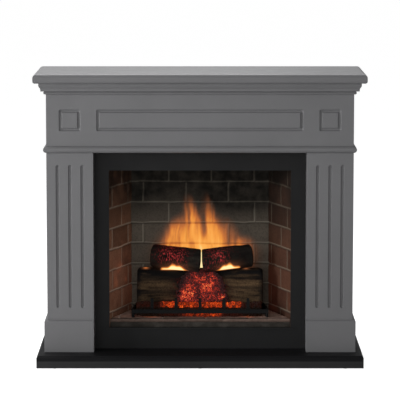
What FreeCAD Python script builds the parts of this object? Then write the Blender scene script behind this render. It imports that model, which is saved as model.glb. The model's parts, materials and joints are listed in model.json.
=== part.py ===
"""An electric fireplace suite: a moulded mantel on a hearth, with a flame effect firebox and a fan heater.

Millimetres. +X to the right, +Y to the back, +Z up. The origin is on the floor, at the middle of the
hearth's outline.
"""

import FreeCAD
import Part
import math
import os

Vector = FreeCAD.Vector
X_AXIS = Vector(1, 0, 0)
Y_AXIS = Vector(0, 1, 0)
Z_AXIS = Vector(0, 0, 1)

# ---- Overall sizes ----
TOTAL_HEIGHT = 972.0
SHELF_WIDTH = 1100.0
SHELF_SET_BACK = 40.0
SHELF_THICKNESS = 31.0
SHELF_TOP_ROUND = 13.0
SHELF_BOTTOM_ROUND = 8.0
SHELF_OVERHANG = 41.5
BOARD = 16.0

# ---- Hearth ----
HEARTH_OVERHANG = 33.0
HEARTH_DEPTH = 420.0
HEARTH_HEIGHT = 42.0
HEARTH_BOARD = 18.0
HEARTH_CHAMFER = 7.0
GLIDE_HEIGHT = 1.0
GLIDE_RADIUS = 7.0
GLIDE_INSET = 60.0

# ---- Mantel front ----
PILASTER_WIDTH = 155.0
FACE_OPENING_HEIGHT = 667.0
RETURN_DEPTH = 112.0
FLUTE_COUNT = 3
FLUTE_PITCH = 41.0
FLUTE_WIDTH = 11.0
FLUTE_DEPTH = 5.0
FLUTE_MARGIN = 41.0
PLINTH_HEIGHT = 107.0
PLINTH_PROJECTION = 10.0
PLINTH_CHAMFER = 4.0
BEAD_HEIGHT = 22.0
BEAD_PROJECTION = 10.0
CROWN_HEIGHT = 38.0
CROWN_PROJECTION = 23.5
CROWN_STEP = 17.0
CROWN_FOOT = 8.0
CROWN_FOOT_HEIGHT = 11.0
OGEE_FOOT = 2.0
OGEE_TOP = 4.0
OGEE_BULGE = 1.2
GROOVE_WIDTH = 10.5
GROOVE_DEPTH = 4.5
GROOVE_RISE = 71.0
GROOVE_SPAN_INSET = 166.5
GROOVE_TILE_INSET = 78.0
WALL_RAIL_HEIGHT = 50.0
WALL_HOLE_RADIUS = 3.0
WALL_HOLE_SPACING = 600.0
CLEAT = 28.0
CLEAT_FROM_SIDE = 197.0

# ---- Black surround ----
SURROUND_RECESS = 60.0
SURROUND_GAP = 1.0
HEADER_PROUD = 2.0
STILE_WIDTH = 48.5
OPENING_BOTTOM = 69.0
OPENING_HEIGHT = 533.0
SILL_EAR = 12.0
SILL_HEIGHT = 7.0
SILL_PROUD = 3.0
SILL_LAP = 4.5

# ---- Firebox shell ----
SHEET = 1.5
CASING_LAP = 31.0
CASING_BACK_GAP = 4.0
CASING_FOOT_HEIGHT = 8.0
CASING_FOOT_RADIUS = 12.0
CASING_FOOT_SIDE_INSET = 48.0
CASING_FOOT_END_INSET = 36.0
CASING_FLANGE = 14.0
BASE_SPACE = 59.0
CEILING_LIFT = 15.0
FAN_SPACE = 5.0
DRIVE_CLEARANCE = 3.0
BRICK_SPLAY = 69.0
BRICK_THICKNESS = 12.0
SCREEN_THICKNESS = 6.0
SLAB_THICKNESS = 28.5
LIGHT_WINDOW_MARGIN = 13.0
LIGHT_WINDOW_DEPTH = 24.0
VENT_SLOT_HEIGHT = 5.0
VENT_PITCH = 14.0
VENT_INNER = 60.0
VENT_FROM_SIDE = 95.0
TOP_VENT_ROWS = 4
UPPER_VENT_ROWS = 6
UPPER_VENT_DROP = 110.0
LOWER_VENT_ROWS = 4
LOWER_VENT_RISE = 60.0
SCREW_ROWS = 5
SCREW_RADIUS = 1.75
SCREW_HEAD_RADIUS = 4.0
SCREW_HEAD_HEIGHT = 2.2
SCREW_LENGTH = 6.0
SCREW_RECESS = 0.8
SCREW_RECESS_REACH = 2.4
SCREW_HEAD_ROUND = 1.3
SCREW_CLEARANCE = 0.2
BRACKET_LEG = 13.0
BRACKET_LENGTH = 30.0
BRACKET_FROM_END = 60.0

# ---- Fuel bed ----
GRATE_BAR = 10.0
GRATE_SET_BACK = 26.5
GRATE_BAR_BOTTOM = 14.5
GRATE_BAR_HEIGHT = 13.5
GRATE_FLARE = 18.0
GRATE_LOG_GAP = 1.0
GRATE_SIDE_LIFT = 2.0
GRATE_SIDE_THICKNESS = 6.0
GRATE_UPRIGHTS = 5
GRATE_END_SPACE = 51.0
GRATE_UPRIGHT_DEPTH = 8.0
GRATE_UPRIGHT_HEIGHT = 50.0
GRATE_TIP_CHAMFER = 2.0
EMBER_GAP = 1.0
EMBER_OVERHANG = 2.0
EMBER_DEPTH = 36.0
EMBER_FRONT_HEIGHT = 20.0
EMBER_HEIGHT = 50.0
EMBER_SHELF = 18.0
MOUND_HALF_WIDTH = 84.0
MOUND_HEIGHT = 90.0
LOG_END_SPACE = 22.0
BASE_LOG_DEPTH = 82.0
BASE_LOG_HEIGHT = 157.0
BASE_LOG_ROUND = 9.0
TOP_LOG_RADIUS = 37.0
TOP_LOG_INNER = 16.0
TOP_LOG_END_SPACE = 52.0
TOP_LOG_FRONT_SHIFT = 41.0
TOP_LOG_BACK_SHIFT = 14.0
TOP_LOG_TILT = 14.0
TOP_LOG_ROUND = 5.0
RESTING_GAP = 0.3

# ---- Flame effect drive ----
ROD_RADIUS = 3.0
ROD_END_SPACE = 9.0
ROD_HEIGHT = 64.0
ROD_FROM_SCREEN = 32.0
RUNNING_GAP = 0.05
FLAG_END_SPACE = 24.0
FLAG_PITCH = 32.0
FLAG_REACH = 22.0
FLAG_WIDTH = 18.0
FLAG_THICKNESS = 0.8
FLAG_HUB_RADIUS = 5.0
FLAG_HUB_LENGTH = 6.0
FLAG_TWIST = 55.0
COUPLING_RADIUS = 7.0
COUPLING_LENGTH = 22.0
COUPLING_END_GAP = 2.0
MOTOR_RADIUS = 24.0
MOTOR_LENGTH = 17.0
MOTOR_BOSS_RADIUS = 9.0
MOTOR_BOSS_LENGTH = 5.0
MOTOR_SHAFT_ENTRY = 4.0
BRACKET_THICKNESS = 2.0
BRACKET_WIDTH = 40.0
BRACKET_FOOT = 12.0
BUSH_RADIUS = 6.0
BUSH_LENGTH = 8.0
LED_BAR_DEPTH = 18.0
LED_BAR_THICKNESS = 1.6
LED_BAR_END_SPACE = 21.0
LED_SIZE = 5.0
LED_HEIGHT = 1.6
LED_PITCH = 30.0
EMBER_LAMP_DROP = 12.0
LAMP_POST_RADIUS = 3.0
TEMPLATE_THICKNESS = 1.2
TEMPLATE_HEIGHT = 320.0
TEMPLATE_CUTS = 5
TEMPLATE_GAP = 3.0
TEMPLATE_PITCH = 51.2
FLAME_CUT_FOOT = 30.0
FLAME_CUT_HALF = 16.0
FLAME_CUT_LEAN = 9.0
FLAME_CUT_BELLY = 4.0
FLAME_CUT_HEIGHT = 150.0
FLAME_CUT_STEP = 55.0

# ---- Fan heater ----
FAN_RADIUS = 25.0
FAN_BORE_RADIUS = 18.0
FAN_FROM_HEATER_END = 8.0
FAN_BLADES = 20
FAN_BLADE_THICKNESS = 1.0
FAN_BLADE_ANGLE = 35.0
FAN_BLADE_INSET = 1.0
FAN_DISC = 2.0
FAN_SHAFT_RADIUS = 3.0
FAN_SHAFT_ENTRY = 8.0
FAN_FROM_SCREEN = 80.0
FAN_HOUSING_GAP = 7.0
FAN_END_GAP = 3.0
SCROLL_OUTLET_LOW = 25.6
SCROLL_OUTLET_HIGH = 14.4
SCROLL_OUTLET_DEPTH = 11.0
SCROLL_INTAKE_EDGE = 3.3
FAN_MOTOR_RADIUS = 26.0
FAN_MOTOR_LENGTH = 38.0
FAN_MOTOR_FOOT_HALF = 14.0
HEATER_DEPTH = 22.0
HEATER_HEIGHT = 44.0
HEATER_END_SPACE = 32.0
HEATER_FINS = 36
HEATER_FIN_SHARE = 0.4
HEATER_FIN_INSET = 2.0
HEATER_WALL = 3.0
HEATER_FROM_OUTLET = 6.0
HEATER_SUPPORT_HALF = 4.0
HEATER_SUPPORT_INSET = 12.0
DUCT_HEADROOM = 5.0
CUTOUT_BASE_RADIUS = 8.0
CUTOUT_CAP_RADIUS = 5.0
CUTOUT_HEIGHT = 4.0
OUTLET_FROM_BEZEL = 22.0
OUTLET_DEPTH = 40.0
OUTLET_SET_BACK = 4.0
OUTLET_FRAME = 5.0
OUTLET_BLADES = 5
OUTLET_BLADE_THICKNESS = 1.2
OUTLET_BLADE_LEAN = 1.5
GRILLE_THICKNESS = 4.0

# ---- Controls ----
BEZEL_SIDE_SPACE = 20.0
BEZEL_LENGTH = 112.0
BEZEL_THICKNESS = 2.5
BEZEL_MARGIN = 5.0
BEZEL_ROUND = 4.0
POWER_FROM_END = 17.0
HEAT_FROM_END = 42.0
BUTTON_FROM_END = 64.0
KNOB_FROM_END = 90.0
ROCKER_LENGTH = 19.0
ROCKER_WIDTH = 13.0
ROCKER_TILT = 8.0
ROCKER_GAP = 0.3
ROCKER_PIVOT_RISE = 1.0
ROCKER_FACE_DROP = 5.5
ROCKER_TOP_RISE = 2.0
SWITCH_WALL = 1.0
SWITCH_POCKET = 8.0
SWITCH_HEIGHT = 20.0
BUTTON_RADIUS = 5.0
BUTTON_PROUD = 4.0
BUTTON_GAP = 0.15
BUTTON_TRAVEL = 1.5
BUTTON_END_GAP = 0.5
BUTTON_ROUND = 1.0
BUTTON_BODY_HALF = 7.0
THERMOSTAT_HALF = 14.0
KNOB_RADIUS = 11.0
KNOB_HEIGHT = 9.0
KNOB_GRIPS = 24
KNOB_SHAFT_RADIUS = 3.0
KNOB_SHAFT_LENGTH = 12.0
KNOB_SHAFT_END_GAP = 1.0
KNOB_GAP = 0.5
KNOB_GRIP_RADIUS = 0.7
POINTER_HALF = 0.6
POINTER_DEPTH = 0.8
POINTER_START = 3.0
BOARD_THICKNESS = 1.6
STANDOFF_HEIGHT = 8.0
STANDOFF_RADIUS = 3.0
STANDOFF_INSET = 6.0
CONTROL_BOARD_LEFT = 90.0
CONTROL_BOARD_LENGTH = 140.0
CONTROL_BOARD_DEPTH = 80.0
CONTROL_BOARD_FROM_BACK = 74.5
RELAY_COUNT = 3
RELAY_LENGTH = 20.0
RELAY_DEPTH = 16.0
RELAY_PITCH = 26.0
RELAY_INSET = 12.0
TRANSFORMER_LENGTH = 36.0
TRANSFORMER_DEPTH = 28.0
TRANSFORMER_HEIGHT = 24.0
TRANSFORMER_INSET = 8.0
CAPACITOR_RADIUS = 8.0
CAPACITOR_HEIGHT = 22.0
CAPACITOR_INSET = 27.0
INLET_FROM_SIDE = 85.0
INLET_WIDTH = 28.0
INLET_HEIGHT = 20.0
INLET_DEPTH = 18.0
INLET_WALL = 1.5
INLET_FLANGE = 10.0
INLET_BLADE = 6.0
INLET_BLADE_HALF_WIDTH = 1.0
INLET_BLADE_HALF_HEIGHT = 2.0
INLET_BLADE_SPREAD = 7.0
INLET_BLADE_DROP = 2.0
INLET_EARTH_RISE = 3.0

# ---- Places worked out from the sizes above ----
BACK = HEARTH_DEPTH / 2
HEARTH_FRONT = -BACK
SHELF_FRONT = HEARTH_FRONT + SHELF_SET_BACK
SHELF_BOTTOM = TOTAL_HEIGHT - SHELF_THICKNESS
BODY_HALF = SHELF_WIDTH / 2 - SHELF_OVERHANG
HEARTH_HALF = BODY_HALF + HEARTH_OVERHANG
FACE_FRONT = SHELF_FRONT + SHELF_OVERHANG
FACE_BACK = FACE_FRONT + BOARD
FRIEZE_BOTTOM = HEARTH_HEIGHT + FACE_OPENING_HEIGHT
PILASTER_INNER = BODY_HALF - PILASTER_WIDTH
SIDE_INNER = BODY_HALF - BOARD
SURROUND_FRONT = FACE_FRONT + SURROUND_RECESS
SURROUND_BACK = SURROUND_FRONT + BOARD
SURROUND_HALF = PILASTER_INNER - SURROUND_GAP
OPENING_HALF = SURROUND_HALF - STILE_WIDTH
OPENING_LOW = HEARTH_HEIGHT + OPENING_BOTTOM
OPENING_HIGH = OPENING_LOW + OPENING_HEIGHT
CASING_HALF = OPENING_HALF + CASING_LAP
CASING_INNER = CASING_HALF - SHEET
CASING_REAR = BACK - CASING_BACK_GAP
COVER_FRONT = CASING_REAR - SHEET
CASING_LOW = HEARTH_HEIGHT + CASING_FOOT_HEIGHT
DECK_TOP = OPENING_LOW
DECK_LOW = DECK_TOP - SHEET
CEILING = OPENING_HIGH + CEILING_LIFT
CEILING_TOP = CEILING + SHEET
FAN_OUTER = FAN_RADIUS + FAN_HOUSING_GAP + SHEET
CASING_HIGH = CEILING_TOP + 2 * (FAN_OUTER + FAN_SPACE) + SHEET
SCREEN_BACK = COVER_FRONT - DRIVE_CLEARANCE - MOTOR_RADIUS - ROD_FROM_SCREEN
SCREEN_FRONT = SCREEN_BACK - SCREEN_THICKNESS
BRICK_DEPTH = SCREEN_FRONT - SURROUND_BACK
BRICK_BACK_HALF = OPENING_HALF - BRICK_SPLAY
PANEL_SHIFT = BRICK_THICKNESS * math.hypot(1, BRICK_SPLAY / BRICK_DEPTH)
SLAB_TOP = DECK_TOP + SLAB_THICKNESS
GRATE_FRONT = SURROUND_BACK + GRATE_SET_BACK
EMBER_FRONT = GRATE_FRONT + GRATE_BAR + GRATE_UPRIGHT_DEPTH + EMBER_GAP
LOG_FRONT = EMBER_FRONT + EMBER_DEPTH
LOG_BACK = LOG_FRONT + BASE_LOG_DEPTH
LOG_HALF = BRICK_BACK_HALF - LOG_END_SPACE
GRATE_HALF_BACK = LOG_HALF + GRATE_LOG_GAP
GRATE_HALF_FRONT = GRATE_HALF_BACK + GRATE_FLARE - GRATE_LOG_GAP
GRATE_PITCH = 2 * (LOG_HALF - GRATE_END_SPACE) / (GRATE_UPRIGHTS - 1)
LOG_TOP_RADIUS = BASE_LOG_DEPTH / 2
LOG_CENTRE_Y = LOG_FRONT + LOG_TOP_RADIUS
LOG_CENTRE_Z = SLAB_TOP + BASE_LOG_HEIGHT - LOG_TOP_RADIUS
EMBER_TOP = SLAB_TOP + EMBER_HEIGHT
LIGHT_WINDOW_HALF = LOG_HALF - LIGHT_WINDOW_MARGIN
ROD_Y = SCREEN_BACK + ROD_FROM_SCREEN
ROD_Z = DECK_TOP + ROD_HEIGHT
ROD_HALF_LENGTH = BRICK_BACK_HALF - ROD_END_SPACE
FLAG_COUNT = int(2 * (ROD_HALF_LENGTH - FLAG_END_SPACE) / FLAG_PITCH) + 1
FAN_Y = SCREEN_BACK - FAN_FROM_SCREEN
FAN_Z = CEILING_TOP + FAN_OUTER + FAN_SPACE
OUTLET_FRONT = SURROUND_BACK + OUTLET_SET_BACK
OUTLET_BACK = OUTLET_FRONT + OUTLET_DEPTH
BEZEL_LOW = CEILING - BEZEL_THICKNESS
CONTROL_Y = (OUTLET_FRONT + OUTLET_BACK) / 2
BEZEL_LEFT = OPENING_HALF - BEZEL_SIDE_SPACE - BEZEL_LENGTH
OUTLET_HALF_LENGTH = BEZEL_LEFT - OUTLET_FROM_BEZEL
HEATER_HALF_LENGTH = OUTLET_HALF_LENGTH - HEATER_END_SPACE
FAN_LENGTH = 2 * (HEATER_HALF_LENGTH - FAN_FROM_HEATER_END)


# ---- Helpers ----
def block(x0, x1, y0, y1, z0, z1):
    """A box between two corners."""
    return Part.makeBox(x1 - x0, y1 - y0, z1 - z0, Vector(x0, y0, z0))


def rod_along(axis, radius, start, length):
    """A cylinder from a start point along an axis."""
    return Part.makeCylinder(radius, length, start, axis)


def prism(corners, travel):
    """A flat outline of corner points, extruded along a vector."""
    closed = list(corners) + [corners[0]]
    return Part.Face(Part.makePolygon(closed)).extrude(travel)


def plan_prism(corners, low, high):
    """A plan outline of (x, y) corners, extruded up from low to high."""
    return prism([Vector(x, y, low) for x, y in corners], Vector(0, 0, high - low))


def mirrored(shape):
    """The same shape on the other side of the middle plane."""
    return shape.mirror(Vector(0, 0, 0), X_AXIS)


def cut_all(shape, tools):
    """The shape with every tool taken away."""
    return shape.cut(Part.makeCompound(tools)) if tools else shape


def edges_where(shape, test):
    """The edges whose every vertex passes a test."""
    return [e for e in shape.Edges if all(test(v.Point) for v in e.Vertexes)]


def near(a, b):
    """True where two lengths are the same."""
    return abs(a - b) < 1e-6


def save(name, *shapes):
    """Writes one node, of one solid or of several separate ones."""
    solids = [s for shape in shapes for s in shape.Solids]
    whole = solids[0] if len(solids) == 1 else Part.makeCompound(solids)
    whole.exportStep(os.path.join("parts", name + ".step"))


def save_pair(name, right):
    """Writes a right-hand piece and its mirror image as two solids of one node."""
    save(name, right, mirrored(right))


def save_sides(name, right):
    """Writes a right-hand piece and its mirror image as two nodes."""
    save(name + "_right", right)
    save(name + "_left", mirrored(right))


# ---- Hearth ----
def outer_top_edge(point, half, front, top):
    """True for a point on the top of a board at its front or side faces."""
    at_side = near(abs(point.x), half)
    return near(point.z, top) and (at_side or near(point.y, front))


def is_back_edge(edge):
    """True for an edge that lies along the back of the object."""
    return all(near(v.Point.y, BACK) for v in edge.Vertexes)


def hearth_top():
    half = HEARTH_HALF
    board = block(-half, half, HEARTH_FRONT, BACK, HEARTH_HEIGHT - HEARTH_BOARD, HEARTH_HEIGHT)
    found = edges_where(board, lambda p: outer_top_edge(p, half, HEARTH_FRONT, HEARTH_HEIGHT))
    return board.makeChamfer(HEARTH_CHAMFER, [e for e in found if not is_back_edge(e)])


def hearth_rails():
    half = HEARTH_HALF
    inner = half - HEARTH_BOARD
    top = HEARTH_HEIGHT - HEARTH_BOARD
    front = block(-half, half, HEARTH_FRONT, HEARTH_FRONT + HEARTH_BOARD, GLIDE_HEIGHT, top)
    side = block(inner, half, HEARTH_FRONT + HEARTH_BOARD, BACK, GLIDE_HEIGHT, top)
    back = block(-inner, inner, BACK - HEARTH_BOARD, BACK, GLIDE_HEIGHT, top)
    middle = block(-HEARTH_BOARD / 2, HEARTH_BOARD / 2, HEARTH_FRONT + HEARTH_BOARD,
                   BACK - HEARTH_BOARD, GLIDE_HEIGHT, top)
    return [front, side, mirrored(side), back, middle]


def hearth_glides():
    reach = HEARTH_HALF - GLIDE_INSET
    depth = BACK - HEARTH_BOARD / 2
    places = [(x, y) for x in (-reach, 0, reach) for y in (-depth, depth)]
    return [rod_along(Z_AXIS, GLIDE_RADIUS, Vector(x, y, 0), GLIDE_HEIGHT) for x, y in places]


# ---- Mouldings that wrap round the front and both sides ----
def wrapped(section, projection):
    """Front, right and left runs of a moulding on the body's faces, mitred at the front corners."""
    reach = BODY_HALF + projection
    front_run = section(lambda p, z: Vector(-reach, FACE_FRONT - p, z)).extrude(Vector(2 * reach, 0, 0))
    side_length = BACK - FACE_FRONT + projection
    side_run = section(lambda p, z: Vector(BODY_HALF + p, FACE_FRONT - projection, z))
    side_run = side_run.extrude(Vector(0, side_length, 0))
    corner, tip = (BODY_HALF, FACE_FRONT), (reach, FACE_FRONT - projection)
    front_keep = plan_prism([(-tip[0], tip[1]), tip, corner, (-corner[0], corner[1])], 0, TOTAL_HEIGHT)
    side_keep = plan_prism([corner, tip, (reach, BACK), (BODY_HALF, BACK)], 0, TOTAL_HEIGHT)
    side = side_run.common(side_keep)
    return front_run.common(front_keep), side, mirrored(side)


def line(a, b):
    return Part.LineSegment(a, b).toShape()


def arc(a, middle, b):
    return Part.Arc(a, middle, b).toShape()


def bead_section(place):
    """A half-round, flat against the face."""
    low, high = FRIEZE_BOTTOM, FRIEZE_BOTTOM + BEAD_HEIGHT
    bottom, top = place(0, low), place(0, high)
    nose = place(BEAD_PROJECTION, (low + high) / 2)
    return Part.Face(Part.Wire([arc(bottom, nose, top), line(top, bottom)]))


def crown_section(place):
    """A small bead, a step, then a shallow ogee up to the shelf."""
    low, high = SHELF_BOTTOM - CROWN_HEIGHT, SHELF_BOTTOM
    step = low + CROWN_FOOT_HEIGHT
    ogee_low, ogee_high = step + OGEE_FOOT, high - OGEE_TOP
    ogee_middle = (ogee_low + ogee_high) / 2
    run = CROWN_PROJECTION - CROWN_STEP
    foot_back = CROWN_FOOT - CROWN_FOOT_HEIGHT / 2
    points = {
        "wall_low": place(0, low),
        "foot_low": place(foot_back, low),
        "foot_nose": place(CROWN_FOOT, (low + step) / 2),
        "foot_high": place(foot_back, step),
        "step": place(CROWN_STEP, step),
        "ogee_low": place(CROWN_STEP, ogee_low),
        "hollow": place(CROWN_STEP + run / 4 - OGEE_BULGE, (ogee_low + ogee_middle) / 2),
        "ogee_middle": place(CROWN_STEP + run / 2, ogee_middle),
        "swell": place(CROWN_STEP + run * 3 / 4 + OGEE_BULGE, (ogee_middle + ogee_high) / 2),
        "ogee_high": place(CROWN_PROJECTION, ogee_high),
        "top": place(CROWN_PROJECTION, high),
        "wall_high": place(0, high),
    }
    edges = [
        line(points["wall_low"], points["foot_low"]),
        arc(points["foot_low"], points["foot_nose"], points["foot_high"]),
        line(points["foot_high"], points["step"]),
        line(points["step"], points["ogee_low"]),
        arc(points["ogee_low"], points["hollow"], points["ogee_middle"]),
        arc(points["ogee_middle"], points["swell"], points["ogee_high"]),
        line(points["ogee_high"], points["top"]),
        line(points["top"], points["wall_high"]),
        line(points["wall_high"], points["wall_low"]),
    ]
    return Part.Face(Part.Wire(edges))


def plinth_section(place):
    """A flat block with a chamfered top edge."""
    low, high = HEARTH_HEIGHT, HEARTH_HEIGHT + PLINTH_HEIGHT
    outline = [(0, low), (PLINTH_PROJECTION, low), (PLINTH_PROJECTION, high - PLINTH_CHAMFER),
               (PLINTH_PROJECTION - PLINTH_CHAMFER, high), (0, high)]
    corners = [place(p, z) for p, z in outline]
    return Part.Face(Part.makePolygon(corners + [corners[0]]))


# ---- Mantel ----
def mantel_shelf():
    half = SHELF_WIDTH / 2
    board = block(-half, half, SHELF_FRONT, BACK, SHELF_BOTTOM, TOTAL_HEIGHT)
    top = edges_where(board, lambda p: outer_top_edge(p, half, SHELF_FRONT, TOTAL_HEIGHT))
    board = board.makeFillet(SHELF_TOP_ROUND, [e for e in top if not is_back_edge(e)])
    low = edges_where(board, lambda p: outer_top_edge(p, half, SHELF_FRONT, SHELF_BOTTOM))
    return board.makeFillet(SHELF_BOTTOM_ROUND, [e for e in low if not is_back_edge(e)])


def groove_radius(width, depth):
    """Radius of the round cutter that leaves a groove of this width and depth."""
    return (width * width / 4 + depth * depth) / (2 * depth)


def routed_groove(corners, width, depth):
    """Round-bottomed cuts in the front face that join (x, z) corners in turn."""
    radius = groove_radius(width, depth)
    y = FACE_FRONT - radius + depth
    points = [Vector(x, y, z) for x, z in corners]
    cuts = [Part.makeSphere(radius, p) for p in points]
    for start, end in zip(points, points[1:]):
        run = end - start
        cuts.append(Part.makeCylinder(radius, run.Length, start, run))
    return cuts[0].multiFuse(cuts[1:])


def rectangle_groove(x0, x1, z0, z1):
    loop = [(x0, z0), (x1, z0), (x1, z1), (x0, z1), (x0, z0)]
    return routed_groove(loop, GROOVE_WIDTH, GROOVE_DEPTH)


def frieze_front():
    board = block(-BODY_HALF, BODY_HALF, FACE_FRONT, FACE_BACK, FRIEZE_BOTTOM, SHELF_BOTTOM)
    bare_low = FRIEZE_BOTTOM + BEAD_HEIGHT
    bare_high = SHELF_BOTTOM - CROWN_HEIGHT
    centre = (bare_low + bare_high) / 2
    half_rise = (GROOVE_RISE - GROOVE_WIDTH) / 2
    low, high = centre - half_rise, centre + half_rise
    half_span = BODY_HALF - GROOVE_SPAN_INSET - GROOVE_WIDTH / 2
    tile_x = BODY_HALF - GROOVE_TILE_INSET
    tile = rectangle_groove(tile_x - half_rise, tile_x + half_rise, low, high)
    return cut_all(board, [rectangle_groove(-half_span, half_span, low, high), tile, mirrored(tile)])


def pilaster_front():
    board = block(PILASTER_INNER, BODY_HALF, FACE_FRONT, FACE_BACK, HEARTH_HEIGHT, FRIEZE_BOTTOM)
    middle = (PILASTER_INNER + BODY_HALF) / 2
    end = FLUTE_MARGIN + FLUTE_WIDTH / 2
    low = HEARTH_HEIGHT + PLINTH_HEIGHT + end
    high = FRIEZE_BOTTOM - end
    first = middle - FLUTE_PITCH * (FLUTE_COUNT - 1) / 2
    places = [first + FLUTE_PITCH * i for i in range(FLUTE_COUNT)]
    flutes = [routed_groove([(x, low), (x, high)], FLUTE_WIDTH, FLUTE_DEPTH) for x in places]
    return cut_all(board, flutes)


def pilaster_return():
    return block(PILASTER_INNER, PILASTER_INNER + BOARD, FACE_BACK, FACE_BACK + RETURN_DEPTH,
                 HEARTH_HEIGHT, FRIEZE_BOTTOM)


def side_panel():
    return block(SIDE_INNER, BODY_HALF, FACE_BACK, BACK, HEARTH_HEIGHT, SHELF_BOTTOM)


def soffit_board():
    return block(-SIDE_INNER, SIDE_INNER, FACE_BACK, SURROUND_BACK, FRIEZE_BOTTOM, FRIEZE_BOTTOM + BOARD)


def wall_rail():
    low = SHELF_BOTTOM - WALL_RAIL_HEIGHT
    rail = block(-SIDE_INNER, SIDE_INNER, BACK - BOARD, BACK, low, SHELF_BOTTOM)
    z = low + WALL_RAIL_HEIGHT / 2
    places = [-WALL_HOLE_SPACING / 2, WALL_HOLE_SPACING / 2]
    holes = [rod_along(Y_AXIS, WALL_HOLE_RADIUS, Vector(x, BACK - BOARD, z), BOARD) for x in places]
    return cut_all(rail, holes)


def shelf_cleats():
    low = SHELF_BOTTOM - CLEAT
    spread = SIDE_INNER - CLEAT_FROM_SIDE
    front = [block(x - CLEAT / 2, x + CLEAT / 2, FACE_BACK, FACE_BACK + CLEAT, low, SHELF_BOTTOM)
             for x in (-spread, 0, spread)]
    side = block(SIDE_INNER - CLEAT, SIDE_INNER, -CLEAT / 2, CLEAT / 2, low, SHELF_BOTTOM)
    return front + [side, mirrored(side)]


def foot_cleats():
    """Blocks behind each pilaster that fix it down to the hearth."""
    high = HEARTH_HEIGHT + CLEAT
    outer = block(SIDE_INNER - CLEAT, SIDE_INNER, FACE_BACK, FACE_BACK + CLEAT, HEARTH_HEIGHT, high)
    rear = block(SIDE_INNER - CLEAT, SIDE_INNER, BACK - 2 * CLEAT, BACK - CLEAT, HEARTH_HEIGHT, high)
    return [outer, mirrored(outer), rear, mirrored(rear)]


# ---- Black surround ----
def surround_header():
    return block(-SURROUND_HALF, SURROUND_HALF, SURROUND_FRONT - HEADER_PROUD, SURROUND_BACK,
                 OPENING_HIGH, FRIEZE_BOTTOM)


def surround_stile():
    return block(OPENING_HALF, SURROUND_HALF, SURROUND_FRONT, SURROUND_BACK, OPENING_LOW, OPENING_HIGH)


def surround_apron():
    return block(-SURROUND_HALF, SURROUND_HALF, SURROUND_FRONT, SURROUND_BACK, HEARTH_HEIGHT, OPENING_LOW)


def firebox_sill():
    half = OPENING_HALF + SILL_EAR
    low = OPENING_LOW - SILL_LAP
    return block(-half, half, SURROUND_FRONT - SILL_PROUD, SURROUND_FRONT, low, low + SILL_HEIGHT)


# ---- Firebox shell ----
def rear_screw_places():
    """(x, z) of the screws that hold the rear cover to the side flanges."""
    x = CASING_INNER - CASING_FLANGE / 2
    step = (CASING_HIGH - CASING_LOW) / SCREW_ROWS
    return [(side * x, CASING_LOW + step * (i + 0.5)) for side in (-1, 1) for i in range(SCREW_ROWS)]


def screw_holes(radius, places, front, back):
    return [rod_along(Y_AXIS, radius, Vector(x, front, z), back - front) for x, z in places]


def casing_side():
    wall = block(CASING_INNER, CASING_HALF, SURROUND_BACK, COVER_FRONT, CASING_LOW, CASING_HIGH)
    flange = block(CASING_INNER - CASING_FLANGE, CASING_INNER, COVER_FRONT - SHEET, COVER_FRONT,
                   CASING_LOW + SHEET, CASING_HIGH - SHEET)
    radius = SCREW_RADIUS + SCREW_CLEARANCE
    holes = screw_holes(radius, rear_screw_places(), COVER_FRONT - SHEET, COVER_FRONT)
    return cut_all(wall.fuse(flange).removeSplitter(), holes)


def vent_slots(x0, x1, centre, count, make_slot):
    """A row of long slots, one above the other."""
    first = centre - VENT_PITCH * (count - 1) / 2
    return [make_slot(x0, x1, first + VENT_PITCH * i) for i in range(count)]


def casing_top():
    low = CASING_HIGH - SHEET
    plate = block(-CASING_INNER, CASING_INNER, SURROUND_BACK, COVER_FRONT, low, CASING_HIGH)
    half_slot = VENT_SLOT_HEIGHT / 2

    def slot(x0, x1, y):
        return block(x0, x1, y - half_slot, y + half_slot, low, CASING_HIGH)

    half = FAN_LENGTH / 2
    slots = vent_slots(-half, -VENT_PITCH / 2, FAN_Y, TOP_VENT_ROWS, slot)
    slots += vent_slots(VENT_PITCH / 2, half, FAN_Y, TOP_VENT_ROWS, slot)
    return cut_all(plate, slots)


def casing_bottom():
    return block(-CASING_INNER, CASING_INNER, SURROUND_BACK, COVER_FRONT, CASING_LOW, CASING_LOW + SHEET)


def casing_feet():
    reach = CASING_INNER - CASING_FOOT_SIDE_INSET
    front = SURROUND_BACK + CASING_FOOT_END_INSET
    back = COVER_FRONT - CASING_FOOT_END_INSET
    places = [(x, y) for x in (-reach, reach) for y in (front, back)]
    height = CASING_LOW - HEARTH_HEIGHT
    return [rod_along(Z_AXIS, CASING_FOOT_RADIUS, Vector(x, y, HEARTH_HEIGHT), height) for x, y in places]


def inlet_place():
    """(x, z) of the middle of the mains inlet."""
    return -CASING_INNER + INLET_FROM_SIDE, (CASING_LOW + DECK_LOW) / 2


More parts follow.
